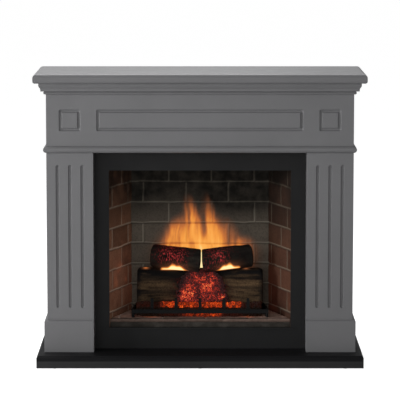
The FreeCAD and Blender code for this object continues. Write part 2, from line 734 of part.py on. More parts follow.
def rear_cover():
    plate = block(-CASING_HALF, CASING_HALF, COVER_FRONT, CASING_REAR, CASING_LOW, CASING_HIGH)
    half_slot = VENT_SLOT_HEIGHT / 2

    def slot(x0, x1, z):
        ends = [rod_along(Y_AXIS, half_slot, Vector(x, COVER_FRONT, z), SHEET) for x in (x0, x1)]
        return block(x0, x1, COVER_FRONT, CASING_REAR, z - half_slot, z + half_slot).multiFuse(ends)

    cuts = screw_holes(SCREW_RADIUS + SCREW_CLEARANCE, rear_screw_places(), COVER_FRONT, CASING_REAR)
    outer = CASING_HALF - VENT_FROM_SIDE
    upper, lower = CASING_HIGH - UPPER_VENT_DROP, DECK_TOP + LOWER_VENT_RISE
    cuts += vent_slots(VENT_INNER, outer, upper, UPPER_VENT_ROWS, slot)
    cuts += vent_slots(-outer, -VENT_INNER, upper, UPPER_VENT_ROWS, slot)
    cuts += vent_slots(VENT_INNER, outer, lower, LOWER_VENT_ROWS, slot)
    x, z = inlet_place()
    cuts.append(block(x - INLET_WIDTH / 2, x + INLET_WIDTH / 2, COVER_FRONT, CASING_REAR,
                      z - INLET_HEIGHT / 2, z + INLET_HEIGHT / 2))
    return cut_all(plate, cuts)


def round_edges(shape):
    """The circular edges of a shape."""
    return [e for e in shape.Edges if e.Curve.TypeId == "Part::GeomCircle"]


def cover_screws():
    """Pan-head screws with a cross recess."""
    top = CASING_REAR + SCREW_HEAD_HEIGHT
    recess = top - SCREW_HEAD_HEIGHT / 2
    reach = SCREW_RECESS_REACH
    half = SCREW_RECESS / 2
    made = []
    for x, z in rear_screw_places():
        shank = rod_along(Y_AXIS, SCREW_RADIUS, Vector(x, CASING_REAR - SCREW_LENGTH, z), SCREW_LENGTH)
        head = rod_along(Y_AXIS, SCREW_HEAD_RADIUS, Vector(x, CASING_REAR, z), SCREW_HEAD_HEIGHT)
        rim = [e for e in round_edges(head) if near(e.Vertexes[0].Y, top)]
        head = head.makeFillet(SCREW_HEAD_ROUND, rim)
        cross = [block(x - reach, x + reach, recess, top, z - half, z + half),
                 block(x - half, x + half, recess, top, z - reach, z + reach)]
        made.append(cut_all(shank.fuse(head), cross))
    return made


def fixing_brackets():
    """Angles that tie the casing's sides to the back of the surround."""
    bend, edge = CASING_HALF + SHEET, CASING_HALF + BRACKET_LEG
    back = SURROUND_BACK + 2 * BRACKET_LEG
    made = []
    for low in (OPENING_LOW + BRACKET_FROM_END, OPENING_HIGH - BRACKET_FROM_END):
        high = low + BRACKET_LENGTH
        along = block(CASING_HALF, bend, SURROUND_BACK, back, low, high)
        across = block(bend, edge, SURROUND_BACK, SURROUND_BACK + SHEET, low, high)
        bracket = along.fuse(across).removeSplitter()
        made += [bracket, mirrored(bracket)]
    return made


def deck_plate():
    """Steel floor over the base compartment, with a window for the ember lamps."""
    plate = block(-CASING_INNER, CASING_INNER, SURROUND_BACK, COVER_FRONT - SHEET, DECK_LOW, DECK_TOP)
    return cut_all(plate, [light_window(DECK_LOW, DECK_TOP)])


def light_window(low, high):
    half = LIGHT_WINDOW_HALF
    middle = EMBER_FRONT + EMBER_DEPTH / 2
    return block(-half, half, middle - LIGHT_WINDOW_DEPTH / 2, middle + LIGHT_WINDOW_DEPTH / 2, low, high)


def brick_floor():
    corners = [(-OPENING_HALF, SURROUND_BACK), (OPENING_HALF, SURROUND_BACK),
               (BRICK_BACK_HALF, SCREEN_FRONT), (-BRICK_BACK_HALF, SCREEN_FRONT)]
    slab = plan_prism(corners, DECK_TOP, SLAB_TOP)
    return cut_all(slab, [light_window(DECK_TOP, SLAB_TOP)])


def brick_side():
    corners = [(OPENING_HALF, SURROUND_BACK), (OPENING_HALF + PANEL_SHIFT, SURROUND_BACK),
               (BRICK_BACK_HALF + PANEL_SHIFT, SCREEN_FRONT), (BRICK_BACK_HALF, SCREEN_FRONT)]
    return plan_prism(corners, DECK_TOP, CEILING)


def flame_screen():
    half = BRICK_BACK_HALF + PANEL_SHIFT
    return block(-half, half, SCREEN_FRONT, SCREEN_BACK, DECK_TOP, CEILING)


def bezel_window(low, high):
    """The cut in the ceiling that the switch bodies pass through."""
    return block(BEZEL_LEFT + BEZEL_MARGIN, BEZEL_LEFT + BEZEL_LENGTH - BEZEL_MARGIN,
                 OUTLET_FRONT + BEZEL_MARGIN, OUTLET_BACK - BEZEL_MARGIN, low, high)


def ceiling_panel():
    plate = block(-CASING_INNER, CASING_INNER, SURROUND_BACK, SCREEN_BACK, CEILING, CEILING_TOP)
    inner = OUTLET_HALF_LENGTH - OUTLET_FRAME
    front, back = OUTLET_FRONT + OUTLET_FRAME, OUTLET_BACK - OUTLET_FRAME
    outlet = block(-inner, inner, front, back, CEILING, CEILING_TOP)
    return cut_all(plate, [outlet, bezel_window(CEILING, CEILING_TOP)])


# ---- Fuel bed ----
def fire_grate():
    low = SLAB_TOP + GRATE_BAR_BOTTOM
    high = low + GRATE_BAR_HEIGHT
    bar_back = GRATE_FRONT + GRATE_BAR
    bar = block(-GRATE_HALF_FRONT, GRATE_HALF_FRONT, GRATE_FRONT, bar_back, low, high)
    first = -GRATE_PITCH * (GRATE_UPRIGHTS - 1) / 2
    half = GRATE_BAR / 2
    tip = low + GRATE_UPRIGHT_HEIGHT
    uprights = []
    for i in range(GRATE_UPRIGHTS):
        x = first + GRATE_PITCH * i
        post = block(x - half, x + half, bar_back, bar_back + GRATE_UPRIGHT_DEPTH, low, tip)
        uprights.append(post.makeChamfer(GRATE_TIP_CHAMFER, edges_where(post, lambda p: near(p.z, tip))))
    side = plan_prism([(GRATE_HALF_FRONT - GRATE_SIDE_THICKNESS, bar_back), (GRATE_HALF_FRONT, bar_back),
                       (GRATE_HALF_BACK + GRATE_SIDE_THICKNESS, LOG_BACK), (GRATE_HALF_BACK, LOG_BACK)],
                      SLAB_TOP + GRATE_SIDE_LIFT, high)
    rear = block(-GRATE_HALF_BACK - GRATE_SIDE_THICKNESS, GRATE_HALF_BACK + GRATE_SIDE_THICKNESS,
                 LOG_BACK, LOG_BACK + GRATE_SIDE_THICKNESS, SLAB_TOP, high)
    foot_x = GRATE_HALF_FRONT - half
    foot = rod_along(Z_AXIS, half, Vector(foot_x, GRATE_FRONT + half, SLAB_TOP), GRATE_BAR_BOTTOM)
    return [bar, *uprights, side, mirrored(side), rear, foot, mirrored(foot)]


def ember_bed():
    outline = [(EMBER_FRONT, SLAB_TOP), (LOG_FRONT, SLAB_TOP), (LOG_FRONT, EMBER_TOP),
               (LOG_FRONT - EMBER_SHELF, EMBER_TOP), (EMBER_FRONT, SLAB_TOP + EMBER_FRONT_HEIGHT)]
    half = LOG_HALF + EMBER_OVERHANG
    corners = [Vector(-half, y, z) for y, z in outline]
    return prism(corners, Vector(2 * half, 0, 0))


def ember_mound():
    """A heap of glowing char against the middle of the base log."""
    depth = EMBER_SHELF
    ball = Part.makeSphere(1)
    stretch = FreeCAD.Matrix()
    stretch.scale(MOUND_HALF_WIDTH, depth, MOUND_HEIGHT)
    stretch.move(Vector(0, LOG_FRONT, EMBER_TOP))
    heap = ball.transformGeometry(stretch)
    keep = block(-MOUND_HALF_WIDTH, MOUND_HALF_WIDTH, LOG_FRONT - depth, LOG_FRONT,
                 EMBER_TOP, EMBER_TOP + MOUND_HEIGHT)
    return heap.common(keep)


def base_log():
    half = LOG_HALF
    low = block(-half, half, LOG_FRONT, LOG_BACK, SLAB_TOP, LOG_CENTRE_Z)
    top = rod_along(X_AXIS, LOG_TOP_RADIUS, Vector(-half, LOG_CENTRE_Y, LOG_CENTRE_Z), 2 * half)
    log = low.fuse(top).removeSplitter()
    ends = edges_where(log, lambda p: near(abs(p.x), half) and p.z > SLAB_TOP + 1)
    return log.makeFillet(BASE_LOG_ROUND, ends)


def resting_height(y, radius):
    """Height of a tilted log's axis at depth y, when the log just clears the base log."""
    reach = radius + LOG_TOP_RADIUS + RESTING_GAP
    tilt = math.radians(TOP_LOG_TILT)
    return LOG_CENTRE_Z + reach / math.cos(tilt) + (y - LOG_CENTRE_Y) * math.tan(tilt)


def top_log():
    """The right-hand top log: its inner end lies forward and lower."""
    inner_y = LOG_CENTRE_Y - TOP_LOG_FRONT_SHIFT
    outer_y = LOG_CENTRE_Y + TOP_LOG_BACK_SHIFT
    inner = Vector(TOP_LOG_INNER, inner_y, resting_height(inner_y, TOP_LOG_RADIUS))
    outer = Vector(LOG_HALF - TOP_LOG_END_SPACE, outer_y, resting_height(outer_y, TOP_LOG_RADIUS))
    run = outer - inner
    log = Part.makeCylinder(TOP_LOG_RADIUS, run.Length, inner, run)
    return log.makeFillet(TOP_LOG_ROUND, round_edges(log))


# ---- Flame effect drive, behind the screen ----
def x_of_rod_end():
    return -ROD_HALF_LENGTH


def flicker_rod():
    return rod_along(X_AXIS, ROD_RADIUS, Vector(x_of_rod_end(), ROD_Y, ROD_Z), 2 * ROD_HALF_LENGTH)


def flicker_flags():
    """Bright metal flags on hubs, each turned a little from its neighbour."""
    first = -FLAG_PITCH * (FLAG_COUNT - 1) / 2
    made = []
    for i in range(FLAG_COUNT):
        centre = Vector(first + FLAG_PITCH * i, ROD_Y, ROD_Z)
        hub = rod_along(X_AXIS, FLAG_HUB_RADIUS, centre - X_AXIS * (FLAG_HUB_LENGTH / 2), FLAG_HUB_LENGTH)
        flag = block(-FLAG_WIDTH / 2, FLAG_WIDTH / 2, -FLAG_REACH, FLAG_REACH,
                     -FLAG_THICKNESS / 2, FLAG_THICKNESS / 2)
        flag.rotate(Vector(0, 0, 0), X_AXIS, FLAG_TWIST * i)
        flag.translate(centre)
        bore = rod_along(X_AXIS, ROD_RADIUS, centre - X_AXIS * FLAG_WIDTH, 2 * FLAG_WIDTH)
        made.append(hub.fuse(flag).cut(bore))
    return made


def rod_coupling():
    """Rubber sleeve that joins the motor's shaft to the rod."""
    start = Vector(x_of_rod_end() - COUPLING_LENGTH / 2, ROD_Y, ROD_Z)
    sleeve = rod_along(X_AXIS, COUPLING_RADIUS, start, COUPLING_LENGTH)
    return sleeve.cut(rod_along(X_AXIS, ROD_RADIUS, start, COUPLING_LENGTH))


def motor_face_x():
    return x_of_rod_end() - COUPLING_LENGTH / 2 - MOTOR_BOSS_LENGTH - COUPLING_END_GAP


def motor_shaft():
    """The motor's output shaft, which turns with the rod."""
    start = motor_face_x() + MOTOR_BOSS_LENGTH - MOTOR_SHAFT_ENTRY
    return rod_along(X_AXIS, ROD_RADIUS, Vector(start, ROD_Y, ROD_Z), x_of_rod_end() - start)


def spinner_motor():
    face = motor_face_x()
    body = rod_along(X_AXIS, MOTOR_RADIUS, Vector(face - MOTOR_LENGTH, ROD_Y, ROD_Z), MOTOR_LENGTH)
    boss = rod_along(X_AXIS, MOTOR_BOSS_RADIUS, Vector(face, ROD_Y, ROD_Z), MOTOR_BOSS_LENGTH)
    bore_depth = MOTOR_SHAFT_ENTRY + RUNNING_GAP
    bore_start = Vector(face + MOTOR_BOSS_LENGTH - bore_depth, ROD_Y, ROD_Z)
    bore = rod_along(X_AXIS, ROD_RADIUS + RUNNING_GAP, bore_start, bore_depth)
    return body.fuse(boss).cut(bore)


def standing_bracket(x, hole_radius):
    """An upright plate on the deck, with a foot and a hole on the rod's axis."""
    half = BRACKET_WIDTH / 2
    upright = block(x, x + BRACKET_THICKNESS, ROD_Y - half, ROD_Y + half, DECK_TOP, ROD_Z + half)
    foot = block(x - BRACKET_FOOT, x, ROD_Y - half, ROD_Y + half, DECK_TOP, DECK_TOP + BRACKET_THICKNESS)
    hole = rod_along(X_AXIS, hole_radius, Vector(x, ROD_Y, ROD_Z), BRACKET_THICKNESS)
    return upright.fuse(foot).removeSplitter().cut(hole)


def rod_brackets():
    motor_side = standing_bracket(motor_face_x(), MOTOR_BOSS_RADIUS)
    bush_side = standing_bracket(ROD_HALF_LENGTH - BUSH_LENGTH / 2 - BRACKET_THICKNESS / 2, BUSH_RADIUS)
    return [motor_side, bush_side]


def rod_bush():
    start = Vector(ROD_HALF_LENGTH - BUSH_LENGTH, ROD_Y, ROD_Z)
    bush = rod_along(X_AXIS, BUSH_RADIUS, start, BUSH_LENGTH)
    return bush.cut(rod_along(X_AXIS, ROD_RADIUS + RUNNING_GAP, start, BUSH_LENGTH))


def led_strip(y, low, half_length):
    """A lamp board and its row of lamps."""
    board = block(-half_length, half_length, y - LED_BAR_DEPTH / 2, y + LED_BAR_DEPTH / 2,
                  low, low + LED_BAR_THICKNESS)
    count = int(2 * half_length // LED_PITCH)
    first = -LED_PITCH * (count - 1) / 2
    top = low + LED_BAR_THICKNESS
    half = LED_SIZE / 2
    lamps = [block(first + LED_PITCH * i - half, first + LED_PITCH * i + half, y - half, y + half,
                   top, top + LED_HEIGHT) for i in range(count)]
    return [board, *lamps]


def flame_lamps():
    return led_strip(ROD_Y, DECK_TOP, ROD_HALF_LENGTH - LED_BAR_END_SPACE)


def ember_lamps():
    """Lamps on a board held up on posts under the light window."""
    middle = EMBER_FRONT + EMBER_DEPTH / 2
    low = DECK_LOW - LED_BAR_THICKNESS - LED_HEIGHT - EMBER_LAMP_DROP
    parts = led_strip(middle, low, LIGHT_WINDOW_HALF)
    floor = CASING_LOW + SHEET
    reach = LIGHT_WINDOW_HALF - LED_BAR_DEPTH / 2
    posts = [rod_along(Z_AXIS, LAMP_POST_RADIUS, Vector(x, middle, floor), low - floor)
             for x in (-reach, 0, reach)]
    return parts + posts


def flame_cut(x, height):
    """A pointed, leaning opening in the flame template."""
    low = DECK_TOP + FLAME_CUT_FOOT
    middle = low + height / 2
    y = SCREEN_BACK + TEMPLATE_GAP
    left, right = Vector(x - FLAME_CUT_HALF, y, low), Vector(x + FLAME_CUT_HALF, y, low)
    tip = Vector(x + FLAME_CUT_LEAN, y, low + height)
    belly = Vector(x + FLAME_CUT_HALF + FLAME_CUT_BELLY, y, middle)
    hollow = Vector(x - FLAME_CUT_HALF / 2, y, middle)
    edges = [line(left, right), arc(right, belly, tip), arc(tip, hollow, left)]
    return Part.Face(Part.Wire(edges)).extrude(Vector(0, TEMPLATE_THICKNESS, 0))


def flame_template():
    """Thin plate whose flame-shaped openings shape the light from the flags."""
    y = SCREEN_BACK + TEMPLATE_GAP
    back, top = y + TEMPLATE_THICKNESS, DECK_TOP + TEMPLATE_HEIGHT
    plate = block(-BRICK_BACK_HALF, BRICK_BACK_HALF, y, back, DECK_TOP, top)
    first = -TEMPLATE_PITCH * (TEMPLATE_CUTS - 1) / 2
    cuts = [flame_cut(first + TEMPLATE_PITCH * i, FLAME_CUT_HEIGHT + FLAME_CUT_STEP * (i % 2))
            for i in range(TEMPLATE_CUTS)]
    return cut_all(plate, cuts)


# ---- Fan heater, above the ceiling ----
def fan_impeller():
    """A cross-flow rotor: end and middle discs joined by a ring of blades."""
    half = FAN_LENGTH / 2
    solid = []
    for x in (-half, -FAN_DISC / 2, half - FAN_DISC):
        solid.append(rod_along(X_AXIS, FAN_RADIUS, Vector(x, FAN_Y, FAN_Z), FAN_DISC))
    middle = (FAN_RADIUS + FAN_BORE_RADIUS) / 2
    depth = FAN_RADIUS - FAN_BORE_RADIUS - FAN_BLADE_INSET
    thick = FAN_BLADE_THICKNESS
    for i in range(FAN_BLADES):
        blade = block(-half, half, -depth / 2, depth / 2, -thick / 2, thick / 2)
        blade.rotate(Vector(0, 0, 0), X_AXIS, FAN_BLADE_ANGLE)
        blade.translate(Vector(0, middle, 0))
        blade.rotate(Vector(0, 0, 0), X_AXIS, 360.0 * i / FAN_BLADES)
        blade.translate(Vector(0, FAN_Y, FAN_Z))
        solid.append(blade)
    return solid[0].multiFuse(solid[1:]).removeSplitter().cut(fan_shaft())


def fan_shaft():
    start = -FAN_LENGTH / 2 - FAN_END_GAP - SHEET
    end = FAN_LENGTH / 2 + FAN_END_GAP + SHEET + FAN_SHAFT_ENTRY
    return rod_along(X_AXIS, FAN_SHAFT_RADIUS, Vector(start, FAN_Y, FAN_Z), end - start)


def fan_housing():
    """A scroll that is open to the top for intake and to the front for the outlet."""
    inner = FAN_RADIUS + FAN_HOUSING_GAP
    outer = inner + SHEET
    half = FAN_LENGTH / 2 + FAN_END_GAP
    start = Vector(-half, FAN_Y, FAN_Z)
    ring = rod_along(X_AXIS, outer, start, 2 * half).cut(rod_along(X_AXIS, inner, start, 2 * half))
    far = 2 * outer
    low, high = FAN_Z - SCROLL_OUTLET_LOW, FAN_Z + SCROLL_OUTLET_HIGH
    outlet = block(-half, half, FAN_Y - far, FAN_Y - SCROLL_OUTLET_DEPTH, low, high)
    intake = block(-half, half, FAN_Y - SCROLL_INTAKE_EDGE, FAN_Y + far, FAN_Z + SCROLL_INTAKE_EDGE,
                   FAN_Z + far)
    scroll = ring.cut(outlet).cut(intake)
    plates = []
    for x in (-half - SHEET, half):
        plate = block(x, x + SHEET, FAN_Y - outer, FAN_Y + outer, CEILING_TOP, FAN_Z + outer)
        hole = rod_along(X_AXIS, FAN_SHAFT_RADIUS + RUNNING_GAP, Vector(x, FAN_Y, FAN_Z), SHEET)
        plates.append(plate.cut(hole))
    return [*scroll.Solids, *plates]


def fan_motor():
    start = FAN_LENGTH / 2 + FAN_END_GAP + SHEET
    body = rod_along(X_AXIS, FAN_MOTOR_RADIUS, Vector(start, FAN_Y, FAN_Z), FAN_MOTOR_LENGTH)
    foot = block(start, start + FAN_MOTOR_LENGTH, FAN_Y - FAN_MOTOR_FOOT_HALF,
                 FAN_Y + FAN_MOTOR_FOOT_HALF, CEILING_TOP, FAN_Z)
    bore_radius, bore_depth = FAN_SHAFT_RADIUS + RUNNING_GAP, FAN_SHAFT_ENTRY + RUNNING_GAP
    bore = rod_along(X_AXIS, bore_radius, Vector(start, FAN_Y, FAN_Z), bore_depth)
    return body.fuse(foot).removeSplitter().cut(bore)


def heater_front():
    return OUTLET_BACK + HEATER_FROM_OUTLET


def heater_element():
    """A finned heating block in a slim frame."""
    y0, y1 = heater_front(), heater_front() + HEATER_DEPTH
    z0, z1 = FAN_Z - HEATER_HEIGHT / 2, FAN_Z + HEATER_HEIGHT / 2
    frame = block(-HEATER_HALF_LENGTH, HEATER_HALF_LENGTH, y0, y1, z0, z1)
    inner = HEATER_HALF_LENGTH - HEATER_WALL
    fin_low, fin_high = z0 + HEATER_WALL, z1 - HEATER_WALL
    frame = frame.cut(block(-inner, inner, y0, y1, fin_low, fin_high))
    step = 2 * inner / HEATER_FINS
    half_fin = step * HEATER_FIN_SHARE / 2
    fins = []
    for i in range(HEATER_FINS):
        x = -inner + step * (i + 0.5)
        fins.append(block(x - half_fin, x + half_fin, y0 + HEATER_FIN_INSET, y1 - HEATER_FIN_INSET,
                          fin_low, fin_high))
    return frame.multiFuse(fins).removeSplitter()


def heater_duct():
    """A cover that turns the air from the fan down through the outlet grille."""
    half = OUTLET_HALF_LENGTH
    y0, y1 = OUTLET_FRONT, heater_front() + HEATER_DEPTH
    top = FAN_Z + HEATER_HEIGHT / 2 + DUCT_HEADROOM
    cover = block(-half, half, y0, y1, CEILING_TOP, top)
    hollow = block(-half + SHEET, half - SHEET, y0 + SHEET, y1, CEILING_TOP, top - SHEET)
    return cover.cut(hollow)


def heater_supports():
    """Mica strips that hold the heating block off the ceiling."""
    y0, y1 = heater_front(), heater_front() + HEATER_DEPTH
    z1 = FAN_Z - HEATER_HEIGHT / 2
    reach = HEATER_HALF_LENGTH - HEATER_SUPPORT_INSET
    return [block(x - HEATER_SUPPORT_HALF, x + HEATER_SUPPORT_HALF, y0, y1, CEILING_TOP, z1)
            for x in (-reach, 0, reach)]


def thermal_cutout():
    """A disc thermostat on the duct's top."""
    top = FAN_Z + HEATER_HEIGHT / 2 + DUCT_HEADROOM
    y = heater_front() + HEATER_DEPTH / 2
    base = rod_along(Z_AXIS, CUTOUT_BASE_RADIUS, Vector(0, y, top), CUTOUT_HEIGHT)
    return base.fuse(rod_along(Z_AXIS, CUTOUT_CAP_RADIUS, Vector(0, y, top + CUTOUT_HEIGHT), CUTOUT_HEIGHT))


def outlet_grille():
    """A frame under the ceiling with long angled blades."""
    half = OUTLET_HALF_LENGTH
    low, high = CEILING - GRILLE_THICKNESS, CEILING
    frame = block(-half, half, OUTLET_FRONT, OUTLET_BACK, low, high)
    inner = block(-half + OUTLET_FRAME, half - OUTLET_FRAME, OUTLET_FRONT + OUTLET_FRAME,
                  OUTLET_BACK - OUTLET_FRAME, low, high)
    frame = frame.cut(inner)
    clear = OUTLET_DEPTH - 2 * OUTLET_FRAME
    step = clear / (OUTLET_BLADES + 1)
    blades = []
    for i in range(OUTLET_BLADES):
        y = OUTLET_FRONT + OUTLET_FRAME + step * (i + 1)
        low_y, high_y = y - OUTLET_BLADE_LEAN, y + OUTLET_BLADE_LEAN
        outline = [(low_y, low), (low_y + OUTLET_BLADE_THICKNESS, low),
                   (high_y + OUTLET_BLADE_THICKNESS, high), (high_y, high)]
        corners = [Vector(-half + OUTLET_FRAME, py, pz) for py, pz in outline]
        blades.append(prism(corners, Vector(2 * (half - OUTLET_FRAME), 0, 0)))
    return frame.multiFuse(blades)


# ---- Controls, under the ceiling behind the header ----
def control_places():
    """x of the power rocker, the heat rocker, the flame button and the thermostat."""
    return {"power": BEZEL_LEFT + POWER_FROM_END, "heat": BEZEL_LEFT + HEAT_FROM_END,
            "flame": BEZEL_LEFT + BUTTON_FROM_END, "knob": BEZEL_LEFT + KNOB_FROM_END}


def rocker_hole(x, low, high):
    half_x, half_y = ROCKER_LENGTH / 2 + ROCKER_GAP, ROCKER_WIDTH / 2 + ROCKER_GAP
    return block(x - half_x, x + half_x, CONTROL_Y - half_y, CONTROL_Y + half_y, low, high)


def control_bezel():
    at = control_places()
    plate = block(BEZEL_LEFT, BEZEL_LEFT + BEZEL_LENGTH, OUTLET_FRONT, OUTLET_BACK, BEZEL_LOW, CEILING)
    corners = [e for e in plate.Edges if near(abs(e.tangentAt(e.FirstParameter).z), 1)]
    plate = plate.makeFillet(BEZEL_ROUND, corners)
    holes = [rocker_hole(at["power"], BEZEL_LOW, CEILING), rocker_hole(at["heat"], BEZEL_LOW, CEILING)]
    button, shaft = Vector(at["flame"], CONTROL_Y, BEZEL_LOW), Vector(at["knob"], CONTROL_Y, BEZEL_LOW)
    holes.append(rod_along(Z_AXIS, BUTTON_RADIUS + BUTTON_GAP, button, BEZEL_THICKNESS))
    holes.append(rod_along(Z_AXIS, KNOB_SHAFT_RADIUS + RUNNING_GAP, shaft, BEZEL_THICKNESS))
    return cut_all(plate, holes)


def rocker_pivot(x):
    return Vector(x, CONTROL_Y, CEILING + ROCKER_PIVOT_RISE)


def rocker(x, tilt):
    """A rocker whose ends are round about its pivot, so that it stays in its hole as it tilts."""
    pivot = rocker_pivot(x)
    half_y = ROCKER_WIDTH / 2
    radius = ROCKER_LENGTH / 2
    drum = rod_along(Y_AXIS, radius, pivot - Y_AXIS * half_y, ROCKER_WIDTH)
    slope = radius * math.tan(math.radians(ROCKER_TILT))
    high, middle = pivot.z + ROCKER_TOP_RISE, pivot.z - ROCKER_FACE_DROP
    low = middle - slope
    outline = [(x - radius, high), (x + radius, high), (x + radius, low), (x, middle), (x - radius, low)]
    corners = [Vector(px, CONTROL_Y - half_y, pz) for px, pz in outline]
    body = drum.common(prism(corners, Vector(0, ROCKER_WIDTH, 0)))
    body.rotate(pivot, Y_AXIS, tilt)
    return body


def switch_bodies():
    """The housings of both rockers, the button and the thermostat, above the bezel."""
    at = control_places()
    high = CEILING + SWITCH_HEIGHT
    half_y = ROCKER_WIDTH / 2 + ROCKER_GAP + SWITCH_WALL
    made = []
    for name in ("power", "heat"):
        x = at[name]
        half_x = ROCKER_LENGTH / 2 + ROCKER_GAP + SWITCH_WALL
        body = block(x - half_x, x + half_x, CONTROL_Y - half_y, CONTROL_Y + half_y, CEILING, high)
        made.append(body.cut(rocker_hole(x, CEILING, CEILING + SWITCH_POCKET)))
    x = at["flame"]
    button_body = block(x - BUTTON_BODY_HALF, x + BUTTON_BODY_HALF, CONTROL_Y - half_y,
                        CONTROL_Y + half_y, CEILING, high)
    pocket = rod_along(Z_AXIS, BUTTON_RADIUS + BUTTON_GAP, Vector(x, CONTROL_Y, CEILING), SWITCH_POCKET)
    made.append(button_body.cut(pocket))
    x = at["knob"]
    thermostat = block(x - THERMOSTAT_HALF, x + THERMOSTAT_HALF, CONTROL_Y - THERMOSTAT_HALF,
                       CONTROL_Y + THERMOSTAT_HALF, CEILING, high)
    base = Vector(x, CONTROL_Y, CEILING)
    shaft = rod_along(Z_AXIS, KNOB_SHAFT_RADIUS + RUNNING_GAP, base, KNOB_SHAFT_LENGTH)
    made.append(thermostat.cut(shaft))
    return made


def flame_button():
    x = control_places()["flame"]
    low = BEZEL_LOW - BUTTON_PROUD
    high = CEILING + SWITCH_POCKET - BUTTON_TRAVEL - BUTTON_END_GAP
    body = rod_along(Z_AXIS, BUTTON_RADIUS, Vector(x, CONTROL_Y, low), high - low)
    rim = [e for e in round_edges(body) if near(e.Vertexes[0].Z, low)]
    return body.makeFillet(BUTTON_ROUND, rim)


def thermostat_knob():
    """A ribbed knob with a pointer groove and its shaft."""
    x = control_places()["knob"]
    high = BEZEL_LOW - KNOB_GAP
    low = high - KNOB_HEIGHT
    disc = rod_along(Z_AXIS, KNOB_RADIUS, Vector(x, CONTROL_Y, low), KNOB_HEIGHT)
    grips = []
    for i in range(KNOB_GRIPS):
        angle = 2 * math.pi * i / KNOB_GRIPS
        edge = Vector(x + KNOB_RADIUS * math.cos(angle), CONTROL_Y + KNOB_RADIUS * math.sin(angle), low)
        grips.append(rod_along(Z_AXIS, KNOB_GRIP_RADIUS, edge, KNOB_HEIGHT))
    pointer = block(x - POINTER_HALF, x + POINTER_HALF, CONTROL_Y - KNOB_RADIUS,
                    CONTROL_Y - POINTER_START, low, low + POINTER_DEPTH)
    shaft_top = CEILING + KNOB_SHAFT_LENGTH - KNOB_SHAFT_END_GAP
    shaft = rod_along(Z_AXIS, KNOB_SHAFT_RADIUS, Vector(x, CONTROL_Y, high), shaft_top - high)
    return cut_all(disc, [*grips, pointer]).fuse(shaft)


# ---- Electrics in the base ----
def control_board():
    """The circuit board with its relays and capacitor, on stand-offs."""
    floor = CASING_LOW + SHEET
    x0, y1 = CONTROL_BOARD_LEFT, COVER_FRONT - CONTROL_BOARD_FROM_BACK
    x1, y0 = x0 + CONTROL_BOARD_LENGTH, y1 - CONTROL_BOARD_DEPTH
    low = floor + STANDOFF_HEIGHT
    top = low + BOARD_THICKNESS
    board = block(x0, x1, y0, y1, low, top)
    posts = [rod_along(Z_AXIS, STANDOFF_RADIUS, Vector(x, y, floor), STANDOFF_HEIGHT)
             for x in (x0 + STANDOFF_INSET, x1 - STANDOFF_INSET)
             for y in (y0 + STANDOFF_INSET, y1 - STANDOFF_INSET)]
    relay_x, relay_y = x0 + RELAY_INSET, y0 + RELAY_INSET
    relays = [block(relay_x + RELAY_PITCH * i, relay_x + RELAY_PITCH * i + RELAY_LENGTH,
                    relay_y, relay_y + RELAY_DEPTH, top, top + RELAY_DEPTH) for i in range(RELAY_COUNT)]
    can = Vector(x1 - CAPACITOR_INSET, y1 - CAPACITOR_INSET, top)
    capacitor = rod_along(Z_AXIS, CAPACITOR_RADIUS, can, CAPACITOR_HEIGHT)
    side, rear = x0 + TRANSFORMER_INSET, y1 - TRANSFORMER_INSET
    transformer = block(side, side + TRANSFORMER_LENGTH, rear - TRANSFORMER_DEPTH, rear,
                        top, top + TRANSFORMER_HEIGHT)
    return [board, *posts, *relays, capacitor, transformer]


def mains_inlet():
    """An appliance inlet: a flanged shell in the rear cover with three short blades."""
    x, z = inlet_place()
    half_w, half_h = INLET_WIDTH / 2, INLET_HEIGHT / 2
    front, floor = CASING_REAR - INLET_DEPTH, CASING_REAR - INLET_DEPTH + 2 * INLET_WALL
    flange_w, flange_h = half_w + INLET_FLANGE, half_h + INLET_WALL
    rear = CASING_REAR + INLET_WALL
    inner_w, inner_h = half_w - INLET_WALL, half_h - INLET_WALL
    body = block(x - half_w, x + half_w, front, CASING_REAR, z - half_h, z + half_h)
    flange = block(x - flange_w, x + flange_w, CASING_REAR, rear, z - flange_h, z + flange_h)
    hollow = block(x - inner_w, x + inner_w, floor, rear, z - inner_h, z + inner_h)
    half_x, half_z = INLET_BLADE_HALF_WIDTH, INLET_BLADE_HALF_HEIGHT
    places = [(x - INLET_BLADE_SPREAD, z - INLET_BLADE_DROP), (x + INLET_BLADE_SPREAD, z - INLET_BLADE_DROP),
              (x, z + INLET_EARTH_RISE)]
    blades = [block(px - half_x, px + half_x, floor, floor + INLET_BLADE, pz - half_z, pz + half_z)
              for px, pz in places]
    return body.fuse(flange).cut(hollow).multiFuse(blades)


